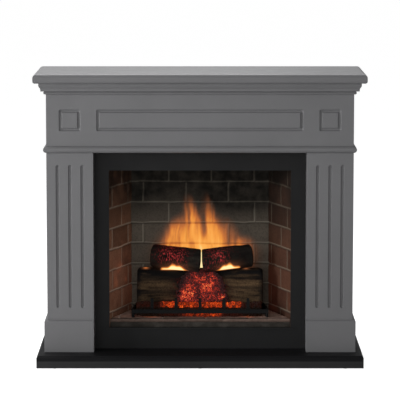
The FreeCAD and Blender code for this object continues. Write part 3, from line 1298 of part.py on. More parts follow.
def main():
    os.makedirs("parts", exist_ok=True)

    save("hearth_top", hearth_top())
    save("hearth_rails", *hearth_rails())
    save("hearth_glides", *hearth_glides())

    save("mantel_shelf", mantel_shelf())
    for name, section, projection in (("crown", crown_section, CROWN_PROJECTION),
                                      ("bead", bead_section, BEAD_PROJECTION)):
        front, right, left = wrapped(section, projection)
        save(name + "_front", front)
        save(name + "_returns", right, left)
    front, right, left = wrapped(plinth_section, PLINTH_PROJECTION)
    reach = BODY_HALF + PLINTH_PROJECTION
    front_right = front.common(block(PILASTER_INNER, reach, HEARTH_FRONT, BACK, 0, TOTAL_HEIGHT))
    save("plinth_fronts", front_right, mirrored(front_right))
    save("plinth_returns", right, left)
    save("frieze_front", frieze_front())
    save_sides("pilaster_front", pilaster_front())
    save_pair("pilaster_returns", pilaster_return())
    save_sides("side_panel", side_panel())
    save("soffit_board", soffit_board())
    save("wall_rail", wall_rail())
    save("cleats", *shelf_cleats(), *foot_cleats())

    save("surround_header", surround_header())
    save_sides("surround_stile", surround_stile())
    save("surround_apron", surround_apron())
    save("firebox_sill", firebox_sill())

    save_pair("casing_sides", casing_side())
    save("casing_plates", casing_top(), casing_bottom())
    save("casing_feet", *casing_feet())
    save("rear_cover", rear_cover())
    save("cover_screws", *cover_screws())
    save("fixing_brackets", *fixing_brackets())
    save("deck_plate", deck_plate())
    save("ceiling_panel", ceiling_panel())
    save("brick_floor", brick_floor())
    save_pair("brick_sides", brick_side())
    save("flame_screen", flame_screen())

    save("fire_grate", *fire_grate())
    save("ember_bed", ember_bed(), ember_mound())
    save("base_log", base_log())
    save_sides("top_log", top_log())

    save("flicker_rod", flicker_rod(), motor_shaft(), *flicker_flags())
    save("rod_coupling", rod_coupling())
    save("spinner_motor", spinner_motor())
    save("rod_brackets", *rod_brackets(), rod_bush())
    save("lamp_boards", *flame_lamps(), *ember_lamps())
    save("flame_template", flame_template())

    save("fan_impeller", fan_impeller(), fan_shaft())
    save("fan_housing", *fan_housing())
    save("fan_motor", fan_motor())
    save("heater_element", heater_element(), *heater_supports())
    save("heater_duct", heater_duct(), thermal_cutout())
    save("outlet_grille", outlet_grille())

    save("control_bezel", control_bezel())
    at = control_places()
    save("power_rocker", rocker(at["power"], -ROCKER_TILT))
    save("heat_rocker", rocker(at["heat"], 0))
    save("flame_button", flame_button())
    save("thermostat_knob", thermostat_knob())
    save("switch_bodies", *switch_bodies())
    save("control_board", *control_board())
    save("mains_inlet", mains_inlet())


main()
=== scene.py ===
"""Looks for the electric fireplace: brick relief, logs, embers and flames, materials, light and camera.

Metres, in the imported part's frame: +X right, +Y back, +Z up.
"""

import json
import math

import bpy
import numpy as np
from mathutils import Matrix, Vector


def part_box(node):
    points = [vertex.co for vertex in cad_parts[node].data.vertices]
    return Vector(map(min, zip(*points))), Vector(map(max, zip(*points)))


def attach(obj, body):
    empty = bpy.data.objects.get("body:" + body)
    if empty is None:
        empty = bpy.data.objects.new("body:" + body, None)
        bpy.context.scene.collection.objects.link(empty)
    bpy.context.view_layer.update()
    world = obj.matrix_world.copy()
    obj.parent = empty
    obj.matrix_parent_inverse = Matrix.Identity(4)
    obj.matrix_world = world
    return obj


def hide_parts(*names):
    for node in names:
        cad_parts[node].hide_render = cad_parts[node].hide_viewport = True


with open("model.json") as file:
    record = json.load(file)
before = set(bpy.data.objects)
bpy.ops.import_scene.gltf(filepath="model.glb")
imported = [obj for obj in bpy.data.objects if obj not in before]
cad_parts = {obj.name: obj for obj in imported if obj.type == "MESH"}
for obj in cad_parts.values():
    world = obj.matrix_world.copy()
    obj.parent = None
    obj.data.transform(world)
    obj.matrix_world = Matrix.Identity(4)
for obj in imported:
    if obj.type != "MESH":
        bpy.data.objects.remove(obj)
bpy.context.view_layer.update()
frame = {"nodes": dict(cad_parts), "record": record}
ROOT = "fireplace"

# ---- Brick pattern. A course and a brick's length each hold one joint. ----
COURSE = 0.0703
BRICK_LENGTH = 0.146
ROW_SHIFT = 0.058
JOINT_WIDTH = 0.0052
JOINT_WOBBLE = 0.004
COURSE_START = 0.0215
BRICK_PROUD = 0.0022
BRICK_UNEVEN = 0.0015
BRICK_GRAIN = 0.0022
BRICK_EDGE = 0.004
# The shadow line in a brick fades out between these distances from the joint over it and the one on its left.
SHADOW_UNDER = (0.0035, 0.0065)
SHADOW_BESIDE = (0.003, 0.006)
SHADOW_START = (-0.001, 0.002)
WALL_SINK = 0.0015
RELIEF_STEP = 0.003
SLAB_THICKNESS = 0.010
CORNER_LAP = 0.006

# ---- Camera, which looks down a little from the front ----
CAMERA_DISTANCE = 8.5
CAMERA_HEIGHT = 1.594
CAMERA_PITCH = 7.093
CAMERA_LENS = 229.13
SENSOR = 36.0

# ---- Light: one lamp over the back, one at the front, and one from the left that draws the grooves ----
LAMPS = (
    {"name": "over_back", "place": (-0.7, 1.3, 3.0), "target": (0, 0.1, 0.95),
     "width": 3.4, "height": 2.2, "power": 95.0},
    {"name": "front", "place": (-0.9, -5.0, 1.2), "target": (0, 0, 0.5),
     "width": 3.4, "height": 1.8, "power": 40.0},
    {"name": "raking", "place": (-5.0, -1.9, 1.5), "target": (0, -0.1, 0.6),
     "width": 1.9, "height": 2.4, "power": 172.0},
)
ROOM_LIGHT = 0.24
ROOM_WHITE = 1.04
FLOOR_GLOW = 0.85
FLOOR_REACH = 40

# ---- Random numbers from whole-numbered cells ----
CELL_PRIMES = (374761393, 668265263, 1274126177)
SEED_PRIME = 974634777
MIXERS = ((13, 1103515245), (16, 12345677))
LARGEST = 0x7FFFFFFF
OCTAVE_RATIO = 2.03

# ---- Sockets of Blender's colour Mix node ----
MIX_FACTOR, MIX_FIRST, MIX_SECOND, MIX_RESULT = 0, 6, 7, 2


# ---- Noise over arrays of points ----
def lattice(cell, seed):
    """A fixed random number from 0 to 1 for each whole-numbered cell."""
    cell = cell.astype(np.int64)
    mixed = sum(cell[:, axis] * prime for axis, prime in enumerate(CELL_PRIMES)) + seed * SEED_PRIME
    for shift, factor in MIXERS:
        mixed = (mixed ^ (mixed >> shift)) * factor & LARGEST
    return mixed / LARGEST


def value_noise(points, seed):
    """Smooth noise from 0 to 1, with features about one unit across."""
    base = np.floor(points)
    part = points - base
    part = part * part * (3 - 2 * part)
    total = np.zeros(len(points))
    for corner in np.ndindex(2, 2, 2):
        step = np.array(corner)
        weight = np.prod(np.where(step, part, 1 - part), axis=1)
        total += weight * lattice(base + step, seed)
    return total


def fractal(points, size, seed, octaves=4):
    """Layered noise from 0 to 1. size is the largest feature, in metres, along each axis."""
    scaled = points / np.asarray(size)
    total, weight, whole = np.zeros(len(points)), 1.0, 0.0
    for octave in range(octaves):
        total += weight * value_noise(scaled * OCTAVE_RATIO ** octave, seed + octave)
        whole += weight
        weight *= 0.5
    return total / whole


def smooth(value, low, high):
    """0 below low and 1 above high, with a soft step between."""
    t = np.clip((value - low) / (high - low), 0, 1)
    return t * t * (3 - 2 * t)


def bell(value, middle, spread, power=2):
    """1 in the middle and less on both sides. A higher power gives a flatter top."""
    return np.exp(-np.abs((value - middle) / spread) ** power)


# ---- Meshes ----
def add_mesh(name, points, faces, attributes=None, shade_smooth=True):
    """An object with one number per point for each named attribute."""
    mesh = bpy.data.meshes.new(name)
    mesh.from_pydata([tuple(p) for p in points], [], faces)
    for key, values in (attributes or {}).items():
        layer = mesh.attributes.new(key, "FLOAT", "POINT")
        layer.data.foreach_set("value", np.asarray(values, dtype=np.float32))
    if shade_smooth:
        mesh.polygons.foreach_set("use_smooth", [True] * len(mesh.polygons))
    mesh.update()
    made = bpy.data.objects.new(name, mesh)
    bpy.context.scene.collection.objects.link(made)
    return made


def finish_piece(piece, material, slot, *nodes):
    """Gives a piece its material, puts it on the fireplace's body, and hides the CAD nodes it stands for."""
    piece.data.materials.append(material)
    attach(piece, ROOT)
    if nodes:
        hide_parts(*nodes)


def grid(first, second):
    """Points of a grid, row by row, from two (start, end, count), as two flat arrays."""
    a, b = np.meshgrid(np.linspace(*first), np.linspace(*second))
    return a.ravel(), b.ravel()


def grid_faces(columns, rows):
    """Faces of a grid whose points run along each row in turn."""
    found = []
    for j in range(rows - 1):
        for i in range(columns - 1):
            a = j * columns + i
            found.append((a, a + 1, a + columns + 1, a + columns))
    return found


def rim_of(columns, rows):
    """Indices round the edge of a grid, in order."""
    low = list(range(columns))
    right = [j * columns + columns - 1 for j in range(1, rows)]
    high = [(rows - 1) * columns + i for i in range(columns - 2, -1, -1)]
    left = [j * columns for j in range(rows - 2, 0, -1)]
    return low + right + high + left


def slab(name, place, inward, columns, rows, height, attributes):
    """A closed slab: a grid of points raised along the inward direction, with a flat back."""
    front = place + np.outer(height, inward)
    rim = rim_of(columns, rows)
    back = place[rim] - np.asarray(inward) * SLAB_THICKNESS
    points = np.vstack([front, back])
    faces = grid_faces(columns, rows)
    start = len(front)
    count = len(rim)
    for k in range(count):
        after = (k + 1) % count
        faces.append((rim[after], rim[k], start + k, start + after))
    faces.append(tuple(start + k for k in range(count - 1, -1, -1)))
    full = {key: np.concatenate([v, v[rim]]) for key, v in attributes.items()}
    return add_mesh(name, points, faces, full)


def brick_pattern(along, up, seed, shift):
    """Height over the wall, joint, painted shadow line at each brick's top and left, and the brick's tone."""
    place = np.column_stack([along, up, np.zeros(len(along))])
    wobble = (fractal(place, 0.05, seed + 50, 2) - 0.5) * JOINT_WOBBLE
    along = along + wobble - shift
    up = up + wobble
    row = np.floor(up / COURSE)
    along = along - np.where(row % 2 == 0, 0.0, ROW_SHIFT)
    column = np.floor(along / BRICK_LENGTH)
    side = along / BRICK_LENGTH - column
    level = up / COURSE - row
    from_side = np.minimum(side, 1 - side) * BRICK_LENGTH - JOINT_WIDTH / 2
    from_joint = np.minimum(from_side, np.minimum(level, 1 - level) * COURSE - JOINT_WIDTH / 2)
    cell = np.column_stack([row, column, np.zeros(len(row))])
    tone = lattice(cell + 100, seed)
    raised = smooth(from_joint, -0.0008, BRICK_EDGE)
    grain = fractal(place, 0.03, seed + 9, 4) - 0.5
    proud = BRICK_PROUD + BRICK_UNEVEN * (lattice(cell + 300, seed) - 0.5)
    height = raised * proud + grain * BRICK_GRAIN
    joint = 1 - smooth(from_joint, -0.001, 0.0012)
    # Painted shadow: a dark line in each brick under the joint above it, and beside the joint on its left.
    under = (1 - level) * COURSE
    painted_shadow_line = smooth(under, *SHADOW_START) * (1 - smooth(under, *SHADOW_UNDER))
    beside = side * BRICK_LENGTH
    upright = smooth(beside, *SHADOW_START) * (1 - smooth(beside, *SHADOW_BESIDE))
    painted_shadow_line = np.maximum(painted_shadow_line, 0.7 * upright)
    return height - WALL_SINK, joint * (1 - 0.6 * painted_shadow_line), painted_shadow_line, tone


# ---- Materials ----
class Look:
    """A material under construction, with one Principled shader."""

    def __init__(self, name):
        self.material = bpy.data.materials.new(name)
        self.material.use_nodes = True
        self.tree = self.material.node_tree
        self.shader = self.tree.nodes["Principled BSDF"]
        coordinates = self.tree.nodes.new("ShaderNodeTexCoord")
        self.place = coordinates.outputs["Object"]

    def put(self, socket, value):
        """Links an output to a socket, or sets its number or colour."""
        if isinstance(value, bpy.types.NodeSocket):
            self.tree.links.new(value, socket)
        elif isinstance(value, tuple) and len(value) == 3 and socket.type == "RGBA":
            socket.default_value = (*value, 1.0)
        else:
            socket.default_value = value

    def node(self, kind, settings=None, **inputs):
        """Adds a node, with its settings and inputs, and gives its first output."""
        made = self.tree.nodes.new(kind)
        for key, value in (settings or {}).items():
            setattr(made, key, value)
        for key, value in inputs.items():
            self.put(made.inputs[key.replace("_", " ")], value)
        return made.outputs[0]

    def stretched(self, x, y, z):
        """Places that are scaled along each axis."""
        return self.node("ShaderNodeMapping", Vector=self.place, Scale=(x, y, z))

    def noise(self, scale, detail=4.0, place=None):
        return self.node("ShaderNodeTexNoise", Vector=place or self.place, Scale=scale,
                         Detail=detail, Roughness=0.55)

    def cell_edges(self, scale, place=None):
        """Distance to the nearest border between random cells."""
        return self.node("ShaderNodeTexVoronoi", {"feature": "DISTANCE_TO_EDGE"},
                         Vector=place or self.place, Scale=scale)

    def ramp(self, factor, *stops):
        """A colour ramp from pairs of a position and a grey or a colour."""
        made = self.tree.nodes.new("ShaderNodeValToRGB")
        self.put(made.inputs["Fac"], factor)
        elements = made.color_ramp.elements
        for i, (position, colour) in enumerate(stops):
            if isinstance(colour, (int, float)):
                colour = (colour,) * 3
            element = elements[i] if i < 2 else elements.new(position)
            element.position = position
            element.color = (*colour, 1.0)
        return made.outputs["Color"]

    def mix(self, factor, first, second, blend="MIX"):
        made = self.tree.nodes.new("ShaderNodeMix")
        made.data_type = "RGBA"
        made.blend_type = blend
        self.put(made.inputs[MIX_FACTOR], factor)
        self.put(made.inputs[MIX_FIRST], first)
        self.put(made.inputs[MIX_SECOND], second)
        return made.outputs[MIX_RESULT]

    def math(self, operation, first, second=0.0, clamp=False):
        made = self.tree.nodes.new("ShaderNodeMath")
        made.operation = operation
        made.use_clamp = clamp
        self.put(made.inputs[0], first)
        self.put(made.inputs[1], second)
        return made.outputs[0]

    def attribute(self, name):
        """A mesh attribute, which has one number per point."""
        made = self.tree.nodes.new("ShaderNodeAttribute")
        made.attribute_name = name
        return made.outputs["Fac"]

    def bump(self, height, strength, distance, round_edge=0.0):
        normal = self.node("ShaderNodeBump", Height=height, Strength=strength, Distance=distance)
        if round_edge:
            self.put(normal.node.inputs["Normal"], self.node("ShaderNodeBevel", Radius=round_edge))
        self.put(self.shader.inputs["Normal"], normal)

    def surface(self, **inputs):
        """Sets the shader's inputs and gives the finished material."""
        for key, value in inputs.items():
            self.put(self.shader.inputs[key.replace("_", " ")], value)
        return self.material


def painted(name, colour, roughness, variation=0.06, bump=0.06, specular=0.5, round_edge=0.0):
    """Sprayed paint: faint clouding, a fine orange-peel texture, uneven sheen and softly rounded edges."""
    look = Look(name)
    cloud = look.noise(6.0, 5.0)
    low = tuple(c * (1 - variation) for c in colour)
    high = tuple(c * (1 + variation) for c in colour)
    tint = look.ramp(cloud, (0.35, low), (0.65, high))
    fine = look.noise(700.0, 2.0)
    sheen = look.ramp(look.noise(18.0, 6.0), (0.3, roughness - 0.05), (0.7, roughness + 0.05))
    look.bump(fine, bump, 0.0004, round_edge)
    return look.surface(Base_Color=tint, Roughness=sheen, Specular_IOR_Level=specular)


def metal(name, colour, roughness):
    """Rolled metal with faint lines drawn along X."""
    look = Look(name)
    lines = look.noise(12.0, 6.0, look.stretched(4, 60, 60))
    tint = look.ramp(lines, (0.3, tuple(c * 0.82 for c in colour)), (0.7, colour))
    rough = look.ramp(lines, (0.3, roughness), (0.7, roughness + 0.15))
    look.bump(lines, 0.08, 0.0003)
    return look.surface(Base_Color=tint, Roughness=rough, Metallic=1.0)


def moulded(name, colour, roughness, grain=900.0, bump=0.15, specular=0.5):
    """Moulded plastic or rubber with a fine spark-eroded texture."""
    look = Look(name)
    fine = look.noise(grain, 3.0)
    tint = look.ramp(look.noise(30.0, 3.0), (0.3, tuple(c * 0.85 for c in colour)), (0.7, colour))
    rough = look.ramp(fine, (0.3, roughness - 0.06), (0.7, roughness + 0.06))
    look.bump(fine, bump, 0.0003)
    return look.surface(Base_Color=tint, Roughness=rough, Specular_IOR_Level=specular)


def bare_board():
    """Raw fibre board."""
    look = Look("bare_board")
    fibres = look.noise(90.0, 6.0, look.stretched(1, 3, 1))
    tint = look.ramp(fibres, (0.3, (0.30, 0.20, 0.12)), (0.7, (0.42, 0.30, 0.19)))
    look.bump(fibres, 0.2, 0.0004)
    return look.surface(Base_Color=tint, Roughness=0.85)


def circuit_board():
    """Green board with darker tracks."""
    look = Look("circuit_board")
    tracks = look.cell_edges(160.0)
    tint = look.ramp(tracks, (0.02, (0.03, 0.16, 0.07)), (0.06, (0.015, 0.09, 0.04)))
    look.bump(tracks, 0.1, 0.0002)
    return look.surface(Base_Color=tint, Roughness=0.4)


# Near-black of the soot and the dark specks, also used for the painted shadow lines and painted shade that
# the walls add to the soot.
SOOT_AND_SHADOW_COLOUR = (0.007, 0.0065, 0.0055)
FLAME_COLOURS = ((0.0, 0.0), (0.2, (0.06, 0.020, 0.008)), (0.45, (0.235, 0.068, 0.020)),
                 (0.65, (0.50, 0.14, 0.026)), (0.82, (0.80, 0.29, 0.045)), (0.93, (0.93, 0.43, 0.09)),
                 (1.0, (1.0, 0.78, 0.38)))
# Painted firelight on the side walls and the floor, by their "glow".
PAINTED_FIRELIGHT_COLOURS = ((0.0, 0.0), (0.3, (0.03, 0.006, 0.003)), (0.7, (0.22, 0.05, 0.018)),
                (1.0, (0.50, 0.14, 0.04)))


def lit_brick(name, low, high, joint, fire=PAINTED_FIRELIGHT_COLOURS, strength=0.7):
    """Fired brick from a low to a high tone, with joints, sooty areas that also hold painted shadow lines and
    painted shade, and light where "glow" is high: the flames on the screen, painted firelight on the walls
    and floor.
    """
    look = Look(name)
    blotch = look.noise(28.0, 6.0)
    speck = look.noise(160.0, 4.0)
    tone = look.math("ADD", look.math("MULTIPLY", look.attribute("tone"), 0.55),
                     look.math("MULTIPLY", blotch, 0.6))
    body = look.ramp(tone, (0.15, low), (0.85, high))
    body = look.mix(look.ramp(speck, (0.45, 0.0), (0.75, 0.35)), body, SOOT_AND_SHADOW_COLOUR)
    body = look.mix(look.attribute("joint"), body, joint)
    # The soot attribute also holds the painted shadow lines and painted shade, which darken the brick as soot
    # does.
    soot_and_shadow = look.math("MULTIPLY", look.attribute("soot_and_shadow"), look.ramp(blotch, (0.2, 0.7), (0.6, 1.0)))
    body = look.mix(soot_and_shadow, body, SOOT_AND_SHADOW_COLOUR)
    look.bump(speck, 0.5, 0.0012)
    light = look.ramp(look.attribute("glow"), *fire)
    shade = look.ramp(look.attribute("joint"), (0.0, 1.0), (1.0, 0.72))
    light = look.mix(1.0, light, shade, "MULTIPLY")
    return look.surface(Base_Color=body, Roughness=0.85, Specular_IOR_Level=0.15,
                        Emission_Color=light, Emission_Strength=strength)


# ---- Sizes from the frame ----
def node_half_width(name, back):
    """Half the width of a CAD node at its front or back face."""
    found = frame["nodes"][name].data.vertices
    depth = (max if back else min)(v.co.y for v in found)
    return max(abs(v.co.x) for v in found if abs(v.co.y - depth) < 1e-5)


floor_low, floor_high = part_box("brick_floor")
base_low, base_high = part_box("base_log")
WALL_FRONT, WALL_BACK = floor_low[1], floor_high[1]
HALF_FRONT = node_half_width("brick_floor", False)
HALF_BACK = node_half_width("brick_floor", True)
WALL_LOW, WALL_HIGH = floor_low[2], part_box("flame_screen")[1][2]
FLOOR_TOP = floor_high[2]
BRICK_ZERO = FLOOR_TOP + COURSE_START
LOG_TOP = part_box("top_log_left")[1][2]
BASE_TOP = base_high[2]

# ---- Flames, drawn on the screen in X and Z ----
# Tongues of flame: foot and tip across the screen, height over the logs, half width, strength.
TONGUES = (
    {"foot": -0.002, "tip": -0.038, "height": 0.172, "half": 0.039, "strength": 1.75},
    {"foot": -0.036, "tip": -0.052, "height": 0.100, "half": 0.024, "strength": 0.35},
    {"foot": 0.054, "tip": 0.024, "height": 0.178, "half": 0.026, "strength": 1.38},
    {"foot": 0.058, "tip": 0.064, "height": 0.120, "half": 0.030, "strength": 0.45},
    {"foot": -0.088, "tip": -0.072, "height": 0.116, "half": 0.042, "strength": 1.32},
    {"foot": 0.112, "tip": 0.086, "height": 0.106, "half": 0.036, "strength": 0.55},
    {"foot": 0.144, "tip": 0.152, "height": 0.048, "half": 0.036, "strength": 0.62},
)
FLAME_DROP = 0.024
FLAME_FADE = 0.10
FLAME_SWAY = 0.030
# A darker cleft between the tall tongues, a brighter heart at their foot, and the gap between the top logs.
CLEFT_X, CLEFT_HALF = 0.013, 0.009
HEART_X, HEART_HALF, HEART_RISE = 0.005, 0.012, 0.030
GAP_X, GAP_HALF = 0.004, 0.018


def flame_amount(x, z):
    """Strength of the picture of flames on the screen, 0 to 1."""
    place = np.column_stack([x, z, np.zeros(len(x))])
    base = LOG_TOP - FLAME_DROP
    rise = smooth(z, base - 0.01, base + 0.10)
    drift = (fractal(place, (0.05, 0.09, 1), seed=21, octaves=3) - 0.5) * FLAME_SWAY * rise
    streak = fractal(place + np.outer(drift, (1, 0, 0)), (0.010, 0.085, 1), seed=31)
    wide = fractal(place, (0.030, 0.11, 1), seed=37, octaves=2)
    total = np.zeros(len(x))
    for tongue in TONGUES:
        t = (z - base) / tongue["height"]
        held = np.clip(t, 0, 1.3)
        centre = tongue["foot"] + (tongue["tip"] - tongue["foot"]) * held
        spread = tongue["half"] * np.clip(1.15 - 0.80 * held ** 1.3, 0.16, 1.15)
        across = bell(x + drift, centre, spread, 2.4)
        total += tongue["strength"] * across * (1 - smooth(t, 0.45, 1.15)) * (1 - 0.35 * held)
    total *= 0.12 + 1.25 * streak + 0.34 * wide
    total *= 1 - 0.5 * bell(x, CLEFT_X, CLEFT_HALF) * smooth(z, base + 0.02, base + 0.06)
    total *= smooth(z, base - FLAME_FADE, base + 0.004)
    total = 0.94 * (1 - np.exp(-1.45 * total))
    heart = 0.04 * bell(x, HEART_X, HEART_HALF) * bell(z, base, HEART_RISE)
    below = smooth(z, base - FLAME_FADE, base - 0.08) * (1 - smooth(z, base - 0.032, base - 0.010))
    between_logs = bell(x, GAP_X, GAP_HALF, 4) * below
    return np.clip(total + heart + between_logs, 0, 1)


# ---- Firebox walls ----
# Each angled wall: side of the middle, seed of its pattern, and where a brick starts along it.
SIDE_WALLS = (
    {"name": "side_bricks_right", "side": 1, "seed": 83, "start": -0.112},
    {"name": "side_bricks_left", "side": -1, "seed": 91, "start": -0.03},
)
# Soot: where the bands at the walls' tops start and are full, measured down, and a thick patch at the back.
BACK_SOOT_START, BACK_SOOT_FULL = 0.26, 0.08
SIDE_SOOT_START, SIDE_SOOT_FULL = 0.30, 0.04
PATCH_X, PATCH_HALF = 0.14, 0.11
PATCH_DROP, PATCH_RISE = 0.10, 0.075
SMOKE_X = -0.03
SMOKE_NEAR, SMOKE_FAR = 0.05, 0.19
CURB_DEPTH = 0.020
FLOOR_ROW_START = 0.012
# Half width of the painted shade under the grate; place and half width of the painted firelight on the floor.
GRATE_SHADE_HALF = 0.215
FLOOR_GLOW_X, FLOOR_GLOW_HALF = 0.165, 0.035


def back_wall():
    """The flame screen: brick with painted shadow lines, sooty at the top, and the picture of flames."""
    half = HALF_BACK + CORNER_LAP
    columns = int(2 * half / RELIEF_STEP)
    rows = int((WALL_HIGH - WALL_LOW) / RELIEF_STEP)
    x, z = grid((-half, half, columns), (WALL_LOW, WALL_HIGH, rows))
    height, joint, painted_shadow_line, tone = brick_pattern(x, z - BRICK_ZERO, seed=3, shift=0.040)
    place = np.column_stack([x, np.full(len(x), WALL_BACK), z])
    cloud = fractal(place, (0.16, 1, 0.13), seed=5, octaves=3)
    upper = smooth(z, WALL_HIGH - BACK_SOOT_START, WALL_HIGH - BACK_SOOT_FULL)
    aside = smooth(np.abs(x - SMOKE_X), SMOKE_NEAR, SMOKE_FAR)
    soot_and_shadow = upper * (0.84 + 0.24 * aside) * (0.88 + 0.2 * smooth(cloud, 0.25, 0.6))
    soot_and_shadow += 0.75 * bell(x, PATCH_X, PATCH_HALF) * bell(z, WALL_HIGH - PATCH_DROP, PATCH_RISE)
    glow = flame_amount(x, z)
    cool = 1 - glow ** 4
    # Painted shadow: the shadow lines darken the bricks as the soot does, and dim the flames a little.
    soot_and_shadow = np.clip(np.maximum(soot_and_shadow, 0.7 * painted_shadow_line) + 0.9 * glow, 0, 0.97)
    soot_and_shadow *= 1 - 0.18 * joint * cool * (1 - 0.8 * glow)
    wall = slab("back_bricks", place, (0, -1, 0), columns, rows, height,
                {"joint": joint * cool, "tone": 0.3 + 0.4 * tone, "soot_and_shadow": soot_and_shadow,
                 "glow": glow * (1 - 0.3 * painted_shadow_line * cool)})
    look = lit_brick("screen_brick", (0.110, 0.091, 0.072), (0.188, 0.156, 0.122), (0.32, 0.28, 0.22),
                     FLAME_COLOURS, 1.12)
    finish_piece(wall, look, "screen", "flame_screen")


def side_wall(name, side, seed, start, look):
    """One angled wall, sooty at the top, with painted firelight low down and painted shadow lines in its
    bricks. side is 1 on the right and -1 on the left.
    """
    corner = np.array([side * HALF_FRONT, WALL_FRONT])
    run = np.array([side * HALF_BACK, WALL_BACK]) - corner
    length = np.linalg.norm(run)
    columns = int(length / RELIEF_STEP)
    rows = int((WALL_HIGH - WALL_LOW) / RELIEF_STEP)
    u, z = grid((0, length, columns), (WALL_LOW, WALL_HIGH, rows))
    place = np.column_stack([corner + np.outer(u / length, run), z])
    height, joint, painted_shadow_line, tone = brick_pattern(u, z - BRICK_ZERO, seed, start)
    cloud = fractal(place, (0.10, 0.10, 0.08), seed + 4, octaves=3)
    upper = smooth(z, WALL_HIGH - SIDE_SOOT_START, WALL_HIGH - SIDE_SOOT_FULL)
    soot_and_shadow = upper * (0.62 + 0.5 * smooth(cloud, 0.2, 0.6))
    # Painted firelight: patches of the fire's light low down on the wall.
    patch = smooth(fractal(place, (0.09, 0.09, 0.07), seed + 7, octaves=3), 0.50, 0.78)
    low_down = smooth(z, WALL_LOW + 0.01, WALL_LOW + 0.10) * (1 - smooth(z, LOG_TOP - 0.15, LOG_TOP + 0.05))
    inward = (-side * run[1] / length, side * run[0] / length, 0.0)
    # Painted shadow: the bricks' shadow lines go in with the soot.
    attributes = {"joint": joint, "tone": tone, "soot_and_shadow": np.clip(np.maximum(soot_and_shadow, 0.55 * painted_shadow_line), 0, 0.9),
                  "glow": (patch * 0.55 + 0.20) * low_down}
    if side > 0:
        order = np.arange(len(u)).reshape(rows, columns)[:, ::-1].ravel()
        place, height = place[order], height[order]
        attributes = {key: values[order] for key, values in attributes.items()}
    wall = slab(name, place, inward, columns, rows, height, attributes)
    finish_piece(wall, look, "brick", "brick_sides")


def floor_bricks(look):
    """The brick floor, with painted shade under the grate, dark along its front edge, painted firelight in
    patches and painted shadow lines in its bricks.
    """
    depth = WALL_BACK - WALL_FRONT
    columns, rows = int(2 * HALF_FRONT / RELIEF_STEP), int(depth / RELIEF_STEP)
    share, y = grid((-1, 1, columns), (WALL_FRONT, WALL_BACK, rows))
    x = share * (HALF_FRONT + (HALF_BACK - HALF_FRONT) * (y - WALL_FRONT) / depth)
    place = np.column_stack([x, y, np.full(len(x), FLOOR_TOP)])
    height, joint, painted_shadow_line, tone = brick_pattern(x, y - WALL_FRONT - FLOOR_ROW_START, seed=11, shift=0.02)
    curb_end = WALL_FRONT + CURB_DEPTH
    front = 1 - smooth(y, curb_end, curb_end + 0.010)
    # Painted firelight: warm patches, strongest either side of the middle, none at the front edge.
    patches = bell(np.abs(x), FLOOR_GLOW_X, FLOOR_GLOW_HALF) + 0.25
    cloud = fractal(place, (0.05, 0.05, 1), seed=13, octaves=3)
    painted_firelight = smooth(cloud, 0.35, 0.7) * 0.55 * patches * (1 - front)
    # Painted shade under the grate, drawn as soot, together with the painted shadow lines and the dark front
    # edge.
    painted_shade_under_grate = smooth(GRATE_SHADE_HALF - np.abs(x), 0, 0.02)
    painted_shade_under_grate *= smooth(y, curb_end + 0.010, curb_end + 0.030)
    soot_and_shadow = np.maximum(np.maximum(0.75 * painted_shade_under_grate, 0.72 * front), 0.5 * painted_shadow_line)
    ground = slab("floor_bricks", place, (0, 0, 1), columns, rows, height,
                  {"joint": joint * (1 - 0.9 * front), "tone": tone, "soot_and_shadow": soot_and_shadow, "glow": painted_firelight})
    finish_piece(ground, look, "brick", "brick_floor")


def floor_curb(look):
    """The upright face at the front of the brick floor."""
    columns = int(2 * HALF_FRONT / RELIEF_STEP)
    rows = int((FLOOR_TOP - WALL_LOW) / RELIEF_STEP) + 2
    x, z = grid((-HALF_FRONT, HALF_FRONT, columns), (WALL_LOW, FLOOR_TOP, rows))
    place = np.column_stack([x, np.full(len(x), WALL_FRONT), z])
    height = (fractal(place, (0.02, 1, 0.012), seed=17) - 0.5) * 0.003 - 0.001
    tone = fractal(place, (0.035, 1, 0.02), seed=19, octaves=3)
    none = np.zeros(len(x))
    curb = slab("floor_curb", place, (0, -1, 0), columns, rows, height,
                {"joint": 0.25 * smooth(tone, 0.5, 0.8), "tone": tone, "soot_and_shadow": none, "glow": none})
    finish_piece(curb, look, "brick", "brick_floor")


def walls():
    """Every brick face of the firebox. The side walls and the floor are copies of one brick in different
    tones: the right wall, lit by the lamp from the left, is painted darker, and the left wall and the floor,
    which get less light, are painted lighter.
    """
    back_wall()
    # Lighter and darker copies of one brick, which make up for the light each face gets: painted light and
    # painted shade.
    looks = {
        1: lit_brick("side_brick_right_painted_shade", (0.028, 0.013, 0.008), (0.092, 0.043, 0.026), (0.21, 0.17, 0.125)),
        -1: lit_brick("side_brick_left_painted_light", (0.140, 0.070, 0.044), (0.430, 0.214, 0.126), (0.74, 0.60, 0.46)),
    }
    for wall in SIDE_WALLS:
        side_wall(look=looks[wall["side"]], **wall)
    floor_bricks(lit_brick("floor_brick", (0.270, 0.170, 0.132), (0.600, 0.400, 0.320), (0.80, 0.70, 0.62)))
    floor_curb(lit_brick("curb_brick", (0.024, 0.021, 0.017), (0.062, 0.054, 0.046), (0.11, 0.10, 0.09),
                         strength=0.5))


# ---- Logs ----
LOG_AROUND, LOG_ALONG = 120, 150
BARK_SIZE = (0.09, 0.012, 0.012)
KNOT_SIZE = 0.05
KNOT_LIFT = 1.4
RIDGE_SINK = 0.4
CAP_SHARE = 0.035
CAP_TAPER = 0.12
CAP_BULGE = 0.002
BASE_SQUARENESS = 3.6
BASE_RIDGE = 0.005
TOP_SQUARENESS = 2.5
TOP_RIDGE = 0.004
TOP_RADIUS_SHARE = 0.45
TOP_HEIGHT_RATIO = 1.10
LOG_SINK = 0.003
LOG_END_LEAN = 0.07

